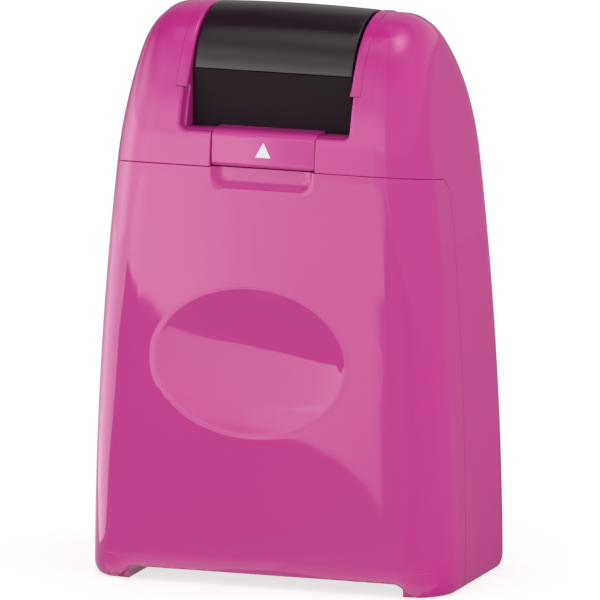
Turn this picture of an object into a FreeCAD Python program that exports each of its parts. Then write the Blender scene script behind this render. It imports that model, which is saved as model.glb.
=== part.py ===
"""Pocket privacy roller stamp, built as separate pieces in millimetres.

The stamp stands on its foot with +Z up. X runs from its left to its right as seen from the front,
and the front faces -Y. The origin is on the standing surface, under the middle of the case.
"Left" and "right" are the viewer's, from the front.
"""
import FreeCAD, Part
import math
import os

import Sketcher

# Driving dimensions: millimetres, degrees and counts.
SIZES = [
    # Case
    ("overall_height", 93.0),
    ("depth", 36.0),
    ("foot_half_width", 31.0),
    ("top_half_width", 23.6),
    ("side_bow_radius", 620.0),
    ("dome_height", 26.2),
    ("crest_radius", 12.75),
    ("crest_forward", 1.1),
    ("corner_radius", 7.6),
    ("foot_edge_radius", 2.2),
    ("wall", 1.8),
    ("arch_half_width", 23.5),
    ("arch_height", 2.1),
    ("arch_corner", 1.2),
    ("base_thickness", 4.4),
    # Joint line between the cover and the housing
    ("seam_drop", 5.7),
    ("seam_ahead_top", 4.1),
    ("seam_ahead_foot", 7.1),
    ("seam_fall", 2.25),
    ("seam_bend", 3.4),
    ("seam_round", 4.0),
    # Thumb dishes
    ("dish_height", 37.2),
    ("dish_shift", 2.1),
    ("dish_half_width", 16.3),
    ("dish_half_height", 12.0),
    ("dish_depth", 2.5),
    ("dish_bulge", 8.5),
    # Window, sills and guides
    ("window_half_width", 14.4),
    ("sill_drop", 6.6),
    ("shoulder_rise", 6.6),
    ("guide_half_gap", 13.9),
    ("guide_thickness", 1.8),
    ("sill_thickness", 1.5),
    ("cradle_thickness", 1.6),
    # Pull tab and the nail scoop under it
    ("tab_half_width", 8.9),
    ("tab_rise", 0.3),
    ("tab_thickness", 2.0),
    ("ledge_thickness", 1.5),
    ("tab_gap", 0.2),
    ("scoop_half_width", 8.8),
    ("scoop_drop", 3.5),
    ("scoop_corner", 2.2),
    ("scoop_depth", 1.4),
    ("scoop_backing", 1.2),
    ("arrow_width", 2.7),
    ("arrow_rise", 2.5),
    ("arrow_lift", 3.1),
    ("arrow_inlay", 1.0),
    # Roller axis and shutter
    ("roller_drop", 11.7),
    ("shutter_radius", 11.7),
    ("shutter_wall", 1.0),
    ("shutter_half_width", 13.5),
    ("shutter_front", 13.6),
    ("shutter_rear", 156.0),
    ("ear_thickness", 0.75),
    ("hub_radius", 3.2),
    # Cartridge frame
    ("panel_thickness", 1.0),
    ("panel_gap", 0.3),
    ("swing_gap", 0.35),
    ("rear_lip_rise", 30.0),
    ("tub_floor", 1.2),
    ("side_plate_thickness", 0.8),
    ("side_gap", 0.15),
    ("side_disc_radius", 10.2),
    ("side_shelf", 12.9),
    ("side_neck", 0.2),
    ("rest_gap", 0.4),
    # Print roller
    ("print_radius", 10.0),
    ("print_core_radius", 6.5),
    ("print_relief", 0.5),
    ("print_rows", 18.0),
    ("print_bands", 8.0),
    ("relief_gap", 0.6),
    ("flange_thickness", 0.7),
    ("flange_radius", 8.6),
    ("end_gap", 0.2),
    ("axle_radius", 1.5),
    ("running_gap", 0.05),
    # Ink roller
    ("ink_radius", 4.8),
    ("ink_core_radius", 2.4),
    ("ink_flange_radius", 4.0),
    ("ink_axle_radius", 1.0),
    ("ink_angle", 290.0),
    ("nip_gap", 0.2),
    ("tub_clearance", 0.4),
]

# Pieces that are written out, in the order of the bench list.
NODES = []

# How far a cutting shape runs past what it cuts.
PAST = 5.0

doc = FreeCAD.newDocument("roller_stamp")
sheet = doc.addObject("Spreadsheet::Sheet", "Sizes")
for row, (alias, value) in enumerate(SIZES, start=1):
    sheet.set(f"A{row}", alias)
    sheet.set(f"B{row}", str(value))
    sheet.setAlias(f"B{row}", alias)
doc.recompute()


class Dim:
    """A size: its value, and the sheet expression that gives the same value."""

    def __init__(self, value, text):
        self.value = value
        self.text = text

    def __add__(self, other):
        return joined(self, other, "+", self.value + number(other))

    def __radd__(self, other):
        return as_dim(other) + self

    def __sub__(self, other):
        return joined(self, other, "-", self.value - number(other))

    def __rsub__(self, other):
        return as_dim(other) - self

    def __mul__(self, other):
        return joined(self, other, "*", self.value * number(other))

    def __rmul__(self, other):
        return as_dim(other) * self

    def __truediv__(self, other):
        return joined(self, other, "/", self.value / number(other))

    def __neg__(self):
        return Dim(-self.value, f"(-{self.text})")


def as_dim(item):
    """A Dim as it is, and a plain number as a Dim."""
    if isinstance(item, Dim):
        return item
    return Dim(float(item), f"({float(item)})")


def number(item):
    """The value of a Dim or of a plain number."""
    return as_dim(item).value


def joined(first, second, sign, value):
    """Two sizes joined by an arithmetic sign."""
    return Dim(value, f"({first.text} {sign} {as_dim(second).text})")


def cosine(angle):
    """Cosine of an angle in degrees."""
    return Dim(math.cos(math.radians(angle.value)), f"cos({angle.text})")


def sine(angle):
    """Sine of an angle in degrees."""
    return Dim(math.sin(math.radians(angle.value)), f"sin({angle.text})")


def tangent(angle):
    """Tangent of an angle in degrees."""
    return sine(angle) / cosine(angle)


def root(item):
    """Square root of a size."""
    return Dim(math.sqrt(item.value), f"sqrt({item.text})")


def size(alias):
    """The driving dimension with this alias."""
    return Dim(float(sheet.get(alias)), f"Sizes.{alias}")


def bind(item, name, dim):
    """Ties a property to the sheet."""
    item.setExpression(name, as_dim(dim).text)


def place(item, x=0.0, y=0.0, z=0.0):
    """Ties an object's place to the sheet."""
    for axis, dim in (("x", x), ("y", y), ("z", z)):
        bind(item, f"Placement.Base.{axis}", dim)


def node(item, label):
    """Marks an object as a piece of the stamp under its own name."""
    item.Label = label
    NODES.append(item)
    return item


def new_body(name):
    """An empty body."""
    return doc.addObject("PartDesign::Body", name)


def origin_feature(body, role):
    """An origin plane or axis of a body."""
    return next(item for item in body.Origin.OriginFeatures if item.Role == role)


def new_sketch(body, name, plane):
    """A sketch on one of a body's own origin planes."""
    sketch = body.newObject("Sketcher::SketchObject", name)
    sketch.AttachmentSupport = (origin_feature(body, plane), [""])
    sketch.MapMode = "FlatFace"
    return sketch


def fix_point(sketch, side, end, point):
    """Holds one end of a sketch line or arc at a pair of sizes."""
    for kind, dim in zip(("DistanceX", "DistanceY"), point):
        held = sketch.addConstraint(Sketcher.Constraint(kind, -1, 1, side, end, number(dim)))
        sketch.setExpression(f"Constraints[{held}]", as_dim(dim).text)


def fix_radius(sketch, side, radius):
    """Holds the radius of a sketch arc or circle."""
    held = sketch.addConstraint(Sketcher.Constraint("Radius", side, number(radius)))
    sketch.setExpression(f"Constraints[{held}]", as_dim(radius).text)


def flat_point(point):
    """A pair of sizes as a point of the sketch plane."""
    return FreeCAD.Vector(number(point[0]), number(point[1]), 0)


def arc_between(start, end, centre):
    """The arc about a centre that runs anticlockwise from start to end."""
    radius = (start - centre).Length
    circle = Part.Circle(centre, FreeCAD.Vector(0, 0, 1), radius)
    first = math.atan2(start.y - centre.y, start.x - centre.x)
    last = math.atan2(end.y - centre.y, end.x - centre.x)
    return Part.ArcOfCircle(circle, first, last if last > first else last + math.tau)


def bowed_side(start, end, radius):
    """The arc from start to end that bows to the right of the way from one to the other."""
    chord = end - start
    rise = math.sqrt(radius ** 2 - (chord.Length / 2) ** 2)
    left = FreeCAD.Vector(-chord.y, chord.x, 0) / chord.Length
    return arc_between(start, end, (start + end) / 2 + left * rise)


def outline(sketch, corners, bows=None):
    """Closed outline through corners, anticlockwise.

    bows gives the radius of each side that is an arc bowed outwards. Where the radius is negative,
    the arc is bowed inwards.
    """
    bows = bows or {}
    points = [flat_point(corner) for corner in corners]
    ends = []
    for side, start in enumerate(points):
        end = points[(side + 1) % len(points)]
        bow = number(bows.get(side, 0))
        if bow > 0:
            sketch.addGeometry(bowed_side(start, end, bow))
        elif bow < 0:
            sketch.addGeometry(bowed_side(end, start, -bow))
        else:
            sketch.addGeometry(Part.LineSegment(start, end))
        ends.append((2, 1) if bow < 0 else (1, 2))
    for side, corner in enumerate(corners):
        following = (side + 1) % len(corners)
        sketch.addConstraint(
            Sketcher.Constraint("Coincident", side, ends[side][1], following, ends[following][0]))
        fix_point(sketch, side, ends[side][0], corner)
    for side, bow in bows.items():
        fix_radius(sketch, side, bow if number(bow) > 0 else -bow)


def pad(body, sketch, length):
    """Pads a sketch evenly to both sides of its plane."""
    feature = body.newObject("PartDesign::Pad", f"{body.Name}_pad")
    feature.Profile = sketch
    feature.SideType = "Symmetric"
    bind(feature, "Length", length)
    return feature


def pocket_through(body, sketch, name):
    """Cuts a sketch through the whole body, to both sides of its plane."""
    feature = body.newObject("PartDesign::Pocket", name)
    feature.Profile = sketch
    feature.SideType = "Symmetric"
    feature.Type = "ThroughAll"
    return feature


def prism(name, plane, corners, length, bows=None):
    """A body padded evenly to both sides of an outline on one of its origin planes."""
    body = new_body(name)
    sketch = new_sketch(body, f"{name}_outline", plane)
    outline(sketch, corners, bows)
    pad(body, sketch, length)
    return body


def block(name, x_range, y_range, z_range):
    """A box between two sizes along each axis."""
    box = doc.addObject("Part::Box", name)
    for side, (low, high) in zip(("Length", "Width", "Height"), (x_range, y_range, z_range)):
        bind(box, side, as_dim(high) - low)
    place(box, x_range[0], y_range[0], z_range[0])
    return box


def turned(name, corners, y, z, sweep=None):
    """A body turned about an X axis at (y, z) from an outline of (x, radius) corners."""
    body = new_body(name)
    sketch = new_sketch(body, f"{name}_outline", "XZ_Plane")
    outline(sketch, corners)
    feature = body.newObject("PartDesign::Revolution", f"{name}_turn")
    feature.Profile = sketch
    feature.ReferenceAxis = (sketch, ["H_Axis"])
    feature.Midplane = sweep is not None
    bind(feature, "Angle", 360.0 if sweep is None else sweep)
    place(body, 0.0, y, z)
    return body


def ring(name, x_range, inner, outer, y, z):
    """A ring or rod about an X axis."""
    (low, high) = x_range
    return turned(name, [(low, inner), (high, inner), (high, outer), (low, outer)], y, z)


def combine(kind, name, base, tool):
    """A boolean of two objects: Part::Cut, Part::Fuse or Part::Common."""
    result = doc.addObject(kind, name)
    result.Base = base
    result.Tool = tool
    return result


def fuse_all(name, items):
    """Several objects fused into one."""
    result = doc.addObject("Part::MultiFuse", name)
    result.Shapes = items
    return result


def on_side(side, low, high):
    """A range of x on the right (side 1), or its mirror image on the left (side -1)."""
    return (low, high) if side > 0 else (-high, -low)


SIDES = (("left", -1), ("right", 1))

# Places that several pieces share, worked out from the driving dimensions.
front_face = -(size("depth") / 2)
rear_face = size("depth") / 2
axis_y = -size("crest_forward")
axis_z = size("overall_height") - size("roller_drop")
sill_top = axis_z - size("sill_drop")
shoulder = sill_top + size("shoulder_rise")
seam = sill_top - size("seam_drop")
panel_outer = size("shutter_radius") * cosine(size("shutter_front"))
panel_inner = panel_outer - size("panel_thickness")
rear_panel_inner = size("shutter_radius") + size("swing_gap")
rear_panel_outer = rear_panel_inner + size("panel_thickness")
roller_spacing = size("print_radius") + size("ink_radius") + size("nip_gap")
ink_y = axis_y - roller_spacing * cosine(size("ink_angle"))
ink_z = axis_z + roller_spacing * sine(size("ink_angle"))
tub_inner_floor = ink_z - size("ink_radius") - size("tub_clearance")
tub_bottom = tub_inner_floor - size("tub_floor")
cradle_top = tub_bottom - size("rest_gap")
cradle_bottom = cradle_top - size("cradle_thickness")
ear_inner = size("shutter_half_width") - size("ear_thickness")
plate_outer = ear_inner - size("side_gap")
plate_inner = plate_outer - size("side_plate_thickness")
roller_half_length = plate_inner - size("end_gap")
sleeve_half_length = roller_half_length - size("flange_thickness")
guide_outer = size("guide_half_gap") + size("guide_thickness")
slot_half_width = size("tab_half_width") + size("tab_gap")
tab_bottom = seam + size("tab_gap")
tab_top = sill_top + size("tab_rise")
whole_width = size("foot_half_width") * 2 + PAST
whole_depth = size("depth") + PAST


def dome_outline(sketch, inset):
    """Side view of the case: straight walls, and a dome of three tangent arcs over them."""
    front = front_face + inset
    rear = rear_face - inset
    crest = size("crest_radius") - inset
    start = size("overall_height") - size("dome_height")
    centre = (axis_y, size("overall_height") - inset - crest)
    middle = flat_point(centre)

    def flank(wall_y, way):
        """Centre of the arc between a wall and the crest arc, and where the two arcs meet."""
        across = abs(middle.x - number(wall_y))
        up = middle.y + crest.value - start.value
        radius = (across ** 2 + up ** 2 - 2 * up * crest.value) / (2 * (across - crest.value))
        hub = FreeCAD.Vector(number(wall_y) - way * radius, start.value, 0)
        towards = (middle - hub).normalize()
        return hub, hub + towards * radius

    rear_hub, rear_meet = flank(rear, 1)
    front_hub, front_meet = flank(front, -1)
    rear_low, rear_high = (rear, 0.0), (rear, start)
    front_low, front_high = (front, 0.0), (front, start)
    sketch.addGeometry(Part.LineSegment(flat_point(rear_low), flat_point(rear_high)))
    sketch.addGeometry(arc_between(flat_point(rear_high), rear_meet, rear_hub))
    sketch.addGeometry(arc_between(rear_meet, front_meet, middle))
    sketch.addGeometry(arc_between(front_meet, flat_point(front_high), front_hub))
    sketch.addGeometry(Part.LineSegment(flat_point(front_high), flat_point(front_low)))
    sketch.addGeometry(Part.LineSegment(flat_point(front_low), flat_point(rear_low)))
    for first, second in ((0, 1), (1, 2), (2, 3), (3, 4)):
        sketch.addConstraint(Sketcher.Constraint("Tangent", first, 2, second, 1))
    for first, second in ((4, 5), (5, 0)):
        sketch.addConstraint(Sketcher.Constraint("Coincident", first, 2, second, 1))
    fix_point(sketch, 0, 1, rear_low)
    fix_point(sketch, 0, 2, rear_high)
    fix_point(sketch, 4, 1, front_high)
    fix_point(sketch, 4, 2, front_low)
    fix_point(sketch, 2, 3, centre)
    fix_radius(sketch, 2, crest)


def chosen_edges(feature, wanted):
    """Names of the edges of a feature for which wanted(edge) is true."""
    edges = feature.Shape.Edges
    return [f"Edge{place_in}" for place_in, edge in enumerate(edges, start=1) if wanted(edge)]


def round_edges(body, feature, name, radius, wanted):
    """A fillet on the chosen edges of the last feature of a body."""
    doc.recompute()
    fillet = body.newObject("PartDesign::Fillet", name)
    fillet.Base = (feature, chosen_edges(feature, wanted))
    bind(fillet, "Radius", radius)
    return fillet


def case_form(name, inset, foot_radius=None):
    """The whole outer form of the case, drawn in by inset: tapered sides, domed top."""
    body = new_body(name)
    side_view = new_sketch(body, f"{name}_side_view", "YZ_Plane")
    dome_outline(side_view, inset)
    pad(body, side_view, whole_width)
    foot = size("foot_half_width") - inset
    top = size("top_half_width") - inset
    bow = size("side_bow_radius") - inset
    high = size("overall_height")
    far = size("foot_half_width") + PAST
    front_view = new_sketch(body, f"{name}_front_view", "XZ_Plane")
    outline(front_view, [(-far, 0.0), (-foot, 0.0), (-top, high), (-far, high)], {1: -bow})
    left_waste = pocket_through(body, front_view, f"{name}_left_waste")
    mirror_view = new_sketch(body, f"{name}_mirror_view", "XZ_Plane")
    outline(mirror_view, [(far, 0.0), (far, high), (top, high), (foot, 0.0)], {2: -bow})
    right_waste = pocket_through(body, mirror_view, f"{name}_right_waste")
    inside = top.value - PAST

    def on_flank(edge):
        """True for an edge along a side wall, apart from the one it stands on."""
        return abs(edge.CenterOfMass.x) > inside and edge.BoundBox.ZMax > PAST

    corner = round_edges(body, right_waste, f"{name}_corner", size("corner_radius") - inset, on_flank)
    if foot_radius is not None:
        round_edges(body, corner, f"{name}_foot", foot_radius, lambda edge: edge.BoundBox.ZMax < PAST)
    return body


def dish(name, face, way, thicker=0.0):
    """An egg-shaped form that presses a thumb dish into a face. way points into the case.

    The dish sits to the left of the middle of the face that it is seen on.
    """
    reach = size("dish_bulge")
    stand_off = reach - size("dish_depth")
    share = root(1.0 - (stand_off / reach) * (stand_off / reach))
    egg = doc.addObject("Part::Ellipsoid", name)
    bind(egg, "Radius1", size("dish_half_height") / share + thicker)
    bind(egg, "Radius2", size("dish_half_width") / share + thicker)
    bind(egg, "Radius3", reach + thicker)
    place(egg, -(size("dish_shift") * way), face - stand_off * way, size("dish_height"))
    return egg


def make_case():
    """Front cover, rear housing and base plate, cut from one hollow form along the joint line."""
    outer = case_form("outer_form", as_dim(0.0), size("foot_edge_radius"))
    inner = case_form("inner_form", size("wall"))
    backing = fuse_all("dish_backing", [
        dish("front_dish_back", front_face, 1, size("wall")),
        dish("rear_dish_back", rear_face, -1, size("wall")),
    ])
    cavity = combine("Part::Cut", "cavity", inner, backing)
    high = size("overall_height") + PAST
    half = size("window_half_width")
    window = prism("window", "XZ_Plane", [
        (-half, sill_top), (half, sill_top), (half, shoulder), (guide_outer, shoulder),
        (guide_outer, high), (-guide_outer, high), (-guide_outer, shoulder), (-half, shoulder),
    ], whole_depth)
    arch_half = size("arch_half_width")
    arch_top = size("arch_height")
    arch_bend = size("arch_corner")
    arch = prism("arch", "XZ_Plane", [
        (-arch_half, -PAST), (arch_half, -PAST), (arch_half, arch_top - arch_bend),
        (arch_half - arch_bend, arch_top), (arch_bend - arch_half, arch_top),
        (-arch_half, arch_top - arch_bend),
    ], whole_depth, {2: arch_bend, 4: arch_bend})
    openings = fuse_all("case_openings", [
        window, arch, dish("front_dish", front_face, 1), dish("rear_dish", rear_face, -1)])
    hollow = combine("Part::Cut", "hollow_case", outer, cavity)
    shell = combine("Part::Cut", "opened_case", hollow, openings)

    bend = size("seam_bend")
    fall = size("seam_fall")
    seam_top = -size("seam_ahead_top")
    seam_foot = -size("seam_ahead_foot")
    fallen = fall - fall * bend / (size("depth") / 2 - size("seam_ahead_top"))
    cover_zone = prism("cover_zone", "YZ_Plane", [
        (front_face - PAST, -PAST), (seam_foot, -PAST), (seam_top, seam - fall - bend),
        (seam_top - bend, seam - fallen), (front_face, seam), (front_face - PAST, seam),
    ], whole_width, {2: size("seam_round")})
    cover_wall = combine("Part::Common", "cover_wall", shell, cover_zone)
    node(make_scooped_cover(cover_wall), "front_cover")
    housing_wall = combine("Part::Cut", "housing_wall", shell, cover_zone)
    node(make_housing(housing_wall, outer), "rear_housing")

    foot = size("foot_half_width")
    base_slab = block("base_slab", (-foot, foot), (front_face, rear_face), (0.0, size("base_thickness")))
    base_form = combine("Part::Common", "base_form", base_slab, inner)
    node(combine("Part::Cut", "base_plate", base_form, arch), "base_plate")
    return outer, inner


def make_scooped_cover(cover_wall):
    """Front cover with the nail scoop under the tab, and the thicker wall behind it."""
    bottom = seam - size("scoop_drop")
    half = size("scoop_half_width")
    bend = size("scoop_corner")
    back = size("wall") + size("scoop_backing")
    boss = block("scoop_boss", (-(half + back / 2), half + back / 2),
                 (front_face + size("wall") / 2, front_face + back),
                 (bottom - back / 2, seam - size("seam_fall") / 4))
    scoop = prism("scoop", "XZ_Plane", [
        (bend - half, bottom), (half - bend, bottom), (half, bottom + bend),
        (half, seam + PAST), (-half, seam + PAST), (-half, bottom + bend),
    ], size("scoop_depth") * 2, {1: bend, 5: bend})
    place(scoop, 0.0, front_face, 0.0)
    backed = combine("Part::Fuse", "backed_cover", cover_wall, boss)
    return combine("Part::Cut", "front_cover", backed, scoop)


def make_housing(housing_wall, outer):
    """Rear housing with the sills under the window and the slot for the tab."""
    low = sill_top - size("sill_thickness")
    gap = size("guide_half_gap")
    clear = size("rest_gap")
    sills = [
        block(f"{name}_sill_slab", on_side(side, slot_half_width, gap),
              (front_face, axis_y - panel_outer - clear), (low, sill_top))
        for name, side in SIDES
    ]
    sills.append(block("rear_sill_slab", (-gap, gap),
                       (axis_y + rear_panel_outer + clear, rear_face), (low, sill_top)))
    inside = combine("Part::Common", "case_sills", fuse_all("sill_slabs", sills), outer)
    walled = combine("Part::Fuse", "walled_housing", housing_wall, inside)
    slot = block("tab_slot", (-slot_half_width, slot_half_width),
                 (front_face - PAST, axis_y), (seam - size("seam_fall"), sill_top))
    return combine("Part::Cut", "rear_housing", walled, slot)


def make_guides(outer, inner):
    """The two guide cheeks beside the shutter, and the cradle floor between them."""
    gap = size("guide_half_gap")
    for name, side in SIDES:
        across = on_side(side, gap, guide_outer)
        upper = block(f"{name}_cheek_upper", across, (front_face, rear_face),
                      (shoulder, size("overall_height")))
        lower = block(f"{name}_cheek_lower", across, (front_face, rear_face), (cradle_bottom, shoulder))
        crown = combine("Part::Common", f"{name}_cheek_crown", upper, outer)
        skirt = combine("Part::Common", f"{name}_cheek_skirt", lower, inner)
        cheek = combine("Part::Fuse", f"{name}_guide_cheek", crown, skirt)
        node(cheek, f"{name}_guide_cheek")
    floor_slab = block("cradle_slab", (-gap, gap), (front_face, rear_face), (cradle_bottom, cradle_top))
    node(combine("Part::Common", "cradle_floor", floor_slab, inner), "cradle_floor")


def make_tab(outer):
    """Pull tab with its ledge, and the arrow let into its face."""
    half = size("tab_half_width")
    plate = block("tab_plate", (-half, half), (front_face, front_face + size("tab_thickness")),
                  (tab_bottom, tab_top))
    ledge = block("tab_ledge", (-half, half), (front_face, axis_y - panel_outer),
                  (tab_top - size("ledge_thickness"), tab_top))
    tab = combine("Part::Common", "tab_form", combine("Part::Fuse", "tab_block", plate, ledge), outer)
    low = seam + size("arrow_lift") - size("arrow_rise") / 2
    arrow_half = size("arrow_width") / 2
    arrow = prism("arrow_prism", "XZ_Plane", [
        (-arrow_half, low), (arrow_half, low), (0.0, low + size("arrow_rise"))],
        size("arrow_inlay") * 2)
    place(arrow, 0.0, front_face, 0.0)
    node(combine("Part::Cut", "pull_tab", tab, arrow), "pull_tab")
    node(combine("Part::Common", "arrow_mark", arrow, outer), "arrow_mark")


def make_cartridge_frame():
    """Tub with its front and rear panels, the two side plates in it, and the two axles."""
    lean = tangent(size("shutter_front"))
    floor_out = tub_bottom - axis_z
    floor_in = tub_inner_floor - axis_z
    along = cosine(size("rear_lip_rise"))
    up = sine(size("rear_lip_rise"))
    tub = prism("cartridge_tub", "YZ_Plane", [
        (-panel_outer, floor_out), (rear_panel_outer, floor_out), (rear_panel_outer, 0.0),
        (rear_panel_outer * along, rear_panel_outer * up),
        (rear_panel_inner * along, rear_panel_inner * up),
        (rear_panel_inner, 0.0), (rear_panel_inner, floor_in), (-panel_inner, floor_in),
        (-panel_inner, panel_inner * lean - size("panel_gap")),
        (-panel_outer, panel_outer * lean - size("panel_gap")),
    ], size("shutter_half_width") * 2, {2: rear_panel_outer, 4: -rear_panel_inner})
    place(tub, 0.0, axis_y, axis_z)
    node(tub, "cartridge_tub")

    shelf = -size("side_shelf")
    neck = -size("side_neck")
    middle = (plate_inner + plate_outer) / 2
    half_plate = size("side_plate_thickness") / 2
    for name, side in SIDES:
        web = prism(f"{name}_plate_web", "YZ_Plane", [
            (-panel_inner, floor_in), (rear_panel_inner, floor_in), (rear_panel_inner, shelf),
            (neck, shelf), (neck, 0.0), (-panel_inner, 0.0),
        ], size("side_plate_thickness"))
        place(web, middle * side, axis_y, axis_z)
        span = (middle * side - half_plate, middle * side + half_plate)
        disc = ring(f"{name}_plate_disc", span, size("axle_radius"), size("side_disc_radius"), axis_y, axis_z)
        whole = combine("Part::Fuse", f"{name}_plate_whole", web, disc)
        bores = fuse_all(f"{name}_plate_bores", [
            ring(f"{name}_axle_bore", span, as_dim(0.0), size("axle_radius"), axis_y, axis_z),
            ring(f"{name}_ink_bore", span, as_dim(0.0), size("ink_axle_radius"), ink_y, ink_z),
        ])
        node(combine("Part::Cut", f"{name}_side_plate", whole, bores), f"{name}_side_plate")

    reach = size("shutter_half_width")
    node(ring("roller_axle", (-reach, reach), as_dim(0.0), size("axle_radius"), axis_y, axis_z), "roller_axle")
    node(ring("ink_axle", (-plate_outer, plate_outer), as_dim(0.0), size("ink_axle_radius"), ink_y, ink_z),
         "ink_axle")


def make_shutter():
    """Shutter: an arc of a drum between two ears that turn on the ends of the axle."""
    half = size("shutter_half_width")
    outer = size("shutter_radius")
    inner = outer - size("shutter_wall")
    hub = size("hub_radius")
    bore = size("axle_radius") + size("running_gap")
    ear_root = (hub + bore) / 2
    drum = turned("shutter_drum", [
        (-half, ear_root), (-ear_inner, ear_root), (-ear_inner, inner), (ear_inner, inner),
        (ear_inner, ear_root), (half, ear_root), (half, outer), (-half, outer),
    ], axis_y, axis_z, size("shutter_rear") - size("shutter_front"))
    drum.Placement = FreeCAD.Placement(FreeCAD.Vector(), FreeCAD.Rotation(FreeCAD.Vector(1, 0, 0), 1))
    place(drum, 0.0, axis_y, axis_z)
    bind(drum, "Placement.Rotation.Angle", 90.0 - (size("shutter_front") + size("shutter_rear")) / 2)
    hubs = [ring(f"{name}_ear_hub", on_side(side, ear_inner, half), bore, hub, axis_y, axis_z)
            for name, side in SIDES]
    node(fuse_all("shutter_cover", [drum] + hubs), "shutter_cover")


def make_print_roller():
    """Print roller: a core that turns on the axle, a rubber sleeve with raised marks, two flanges."""
    bore = size("axle_radius") + size("running_gap")
    core = size("print_core_radius")
    full = size("print_radius")
    cut = full - size("print_relief")
    node(ring("print_core", (-roller_half_length, roller_half_length), bore, core, axis_y, axis_z),
         "print_core")
    bands = int(size("print_bands").value)
    pitch = sleeve_half_length * 2 / size("print_bands")
    half_gap = size("relief_gap") / 2
    corners = [(-sleeve_half_length, core), (sleeve_half_length, core), (sleeve_half_length, full)]
    for band in range(1, bands):
        groove = sleeve_half_length - pitch * band
        corners += [(groove + half_gap, full), (groove + half_gap, cut),
                    (groove - half_gap, cut), (groove - half_gap, full)]
    corners.append((-sleeve_half_length, full))
    sleeve = turned("print_rubber", corners, axis_y, axis_z)
    row_view = new_sketch(sleeve, "print_row_gap", "YZ_Plane")
    outline(row_view, [(-half_gap, cut), (half_gap, cut), (half_gap, full + PAST), (-half_gap, full + PAST)])
    row_gap = pocket_through(sleeve, row_view, "print_row_cut")
    rows = sleeve.newObject("PartDesign::PolarPattern", "print_rows")
    rows.Originals = [row_gap]
    rows.Axis = (origin_feature(sleeve, "X_Axis"), [""])
    rows.Angle = 360
    bind(rows, "Occurrences", size("print_rows"))
    sleeve.Tip = rows
    node(sleeve, "print_rubber")
    for name, side in SIDES:
        span = on_side(side, sleeve_half_length, roller_half_length)
        node(ring(f"{name}_print_flange", span, core, size("flange_radius"), axis_y, axis_z),
             f"{name}_print_flange")


def make_ink_roller():
    """Ink roller: a core that turns on its own axle, a felt sleeve and two flanges."""
    bore = size("ink_axle_radius") + size("running_gap")
    core = size("ink_core_radius")
    node(ring("ink_core", (-roller_half_length, roller_half_length), bore, core, ink_y, ink_z), "ink_core")
    node(ring("ink_felt", (-sleeve_half_length, sleeve_half_length), core, size("ink_radius"), ink_y, ink_z),
         "ink_felt")
    for name, side in SIDES:
        span = on_side(side, sleeve_half_length, roller_half_length)
        node(ring(f"{name}_ink_flange", span, core, size("ink_flange_radius"), ink_y, ink_z),
             f"{name}_ink_flange")


def check_and_write():
    """Stops at any failed object or bad shape, and otherwise writes one file for each piece."""
    doc.recompute()
    for item in doc.Objects:
        if "Invalid" in item.State or "Error" in item.State:
            raise RuntimeError(f"{item.Name} failed: {item.State}")
    for item in NODES:
        shape = item.Shape
        if shape.isNull() or not shape.isValid() or not shape.Solids:
            raise RuntimeError(f"{item.Label} has no sound solid")
    os.makedirs("parts", exist_ok=True)
    for item in NODES:
        item.Shape.exportStep(os.path.join("parts", f"{item.Label}.step"))
        print(f"{item.Label}: {len(item.Shape.Solids)} solid, {item.Shape.Volume:.1f} mm3")


case_outer, case_inner = make_case()
make_guides(case_outer, case_inner)
make_cartridge_frame()
make_tab(case_outer)
make_shutter()
make_print_roller()
make_ink_roller()
check_and_write()
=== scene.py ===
"""Looks of a pocket privacy roller stamp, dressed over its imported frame.

The frame gives the solids and the bodies that move. This script gives each visible piece its shape
and finish. Shapes are surfaces worked out with numpy in millimetres, and put into meshes in metres.
+Z is up, the front faces -Y, and "left" and "right" are the viewer's, from the front.
"""
from __future__ import annotations

import logging
import math
from dataclasses import dataclass, field
from enum import Enum
from typing import Callable

import bpy
import numpy as np
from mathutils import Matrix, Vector

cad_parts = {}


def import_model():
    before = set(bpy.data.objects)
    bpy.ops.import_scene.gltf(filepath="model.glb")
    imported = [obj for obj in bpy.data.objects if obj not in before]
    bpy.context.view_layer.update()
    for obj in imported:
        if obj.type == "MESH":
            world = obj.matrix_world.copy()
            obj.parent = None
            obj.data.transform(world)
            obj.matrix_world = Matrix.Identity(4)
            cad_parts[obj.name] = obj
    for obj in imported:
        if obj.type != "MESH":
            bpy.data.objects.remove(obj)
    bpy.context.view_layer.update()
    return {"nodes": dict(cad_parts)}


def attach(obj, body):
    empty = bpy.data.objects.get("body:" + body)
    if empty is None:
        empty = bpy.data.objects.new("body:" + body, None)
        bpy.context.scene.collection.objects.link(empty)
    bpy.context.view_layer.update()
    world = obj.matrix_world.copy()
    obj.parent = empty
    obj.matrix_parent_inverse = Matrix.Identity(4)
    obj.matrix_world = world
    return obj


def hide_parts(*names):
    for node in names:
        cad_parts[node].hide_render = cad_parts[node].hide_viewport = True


LOG = logging.getLogger("roller_stamp")
MM = 0.001
FULL_TURN = 360.0
HALF_TURN = 180.0
QUARTER = math.pi / 2.0
TINY = 1e-9
LEVEL_SLACK = 1e-6
# Least cosine by which a slab's corner is drawn in, so that a sharp one isn't drawn in too far.
LEAST_LEAN = 0.6
# Place of the crest along the case's profile, which starts at 0 at the foot.
TOP_CLIMB = 2.0
# Numbers of points of the tables that the case's curves are looked up in.
FACE_TABLE, CLIMB_TABLE, CREST_TABLE, BEND_TABLE, LEAN_TABLE, CHEEK_TABLE = 2001, 4101, 400, 241, 120, 161
# Decimals of a millimetre at which points are the same.
WELD_PLACES = 4
SHARP_ANGLE = math.radians(32.0)
# The two axles as (y, z).
ROLLER_AXIS = (-1.1, 81.3)
INK_AXIS = (-6.2303, 67.2046)
MIRROR = np.array([-1.0, 1.0, 1.0])

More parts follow.
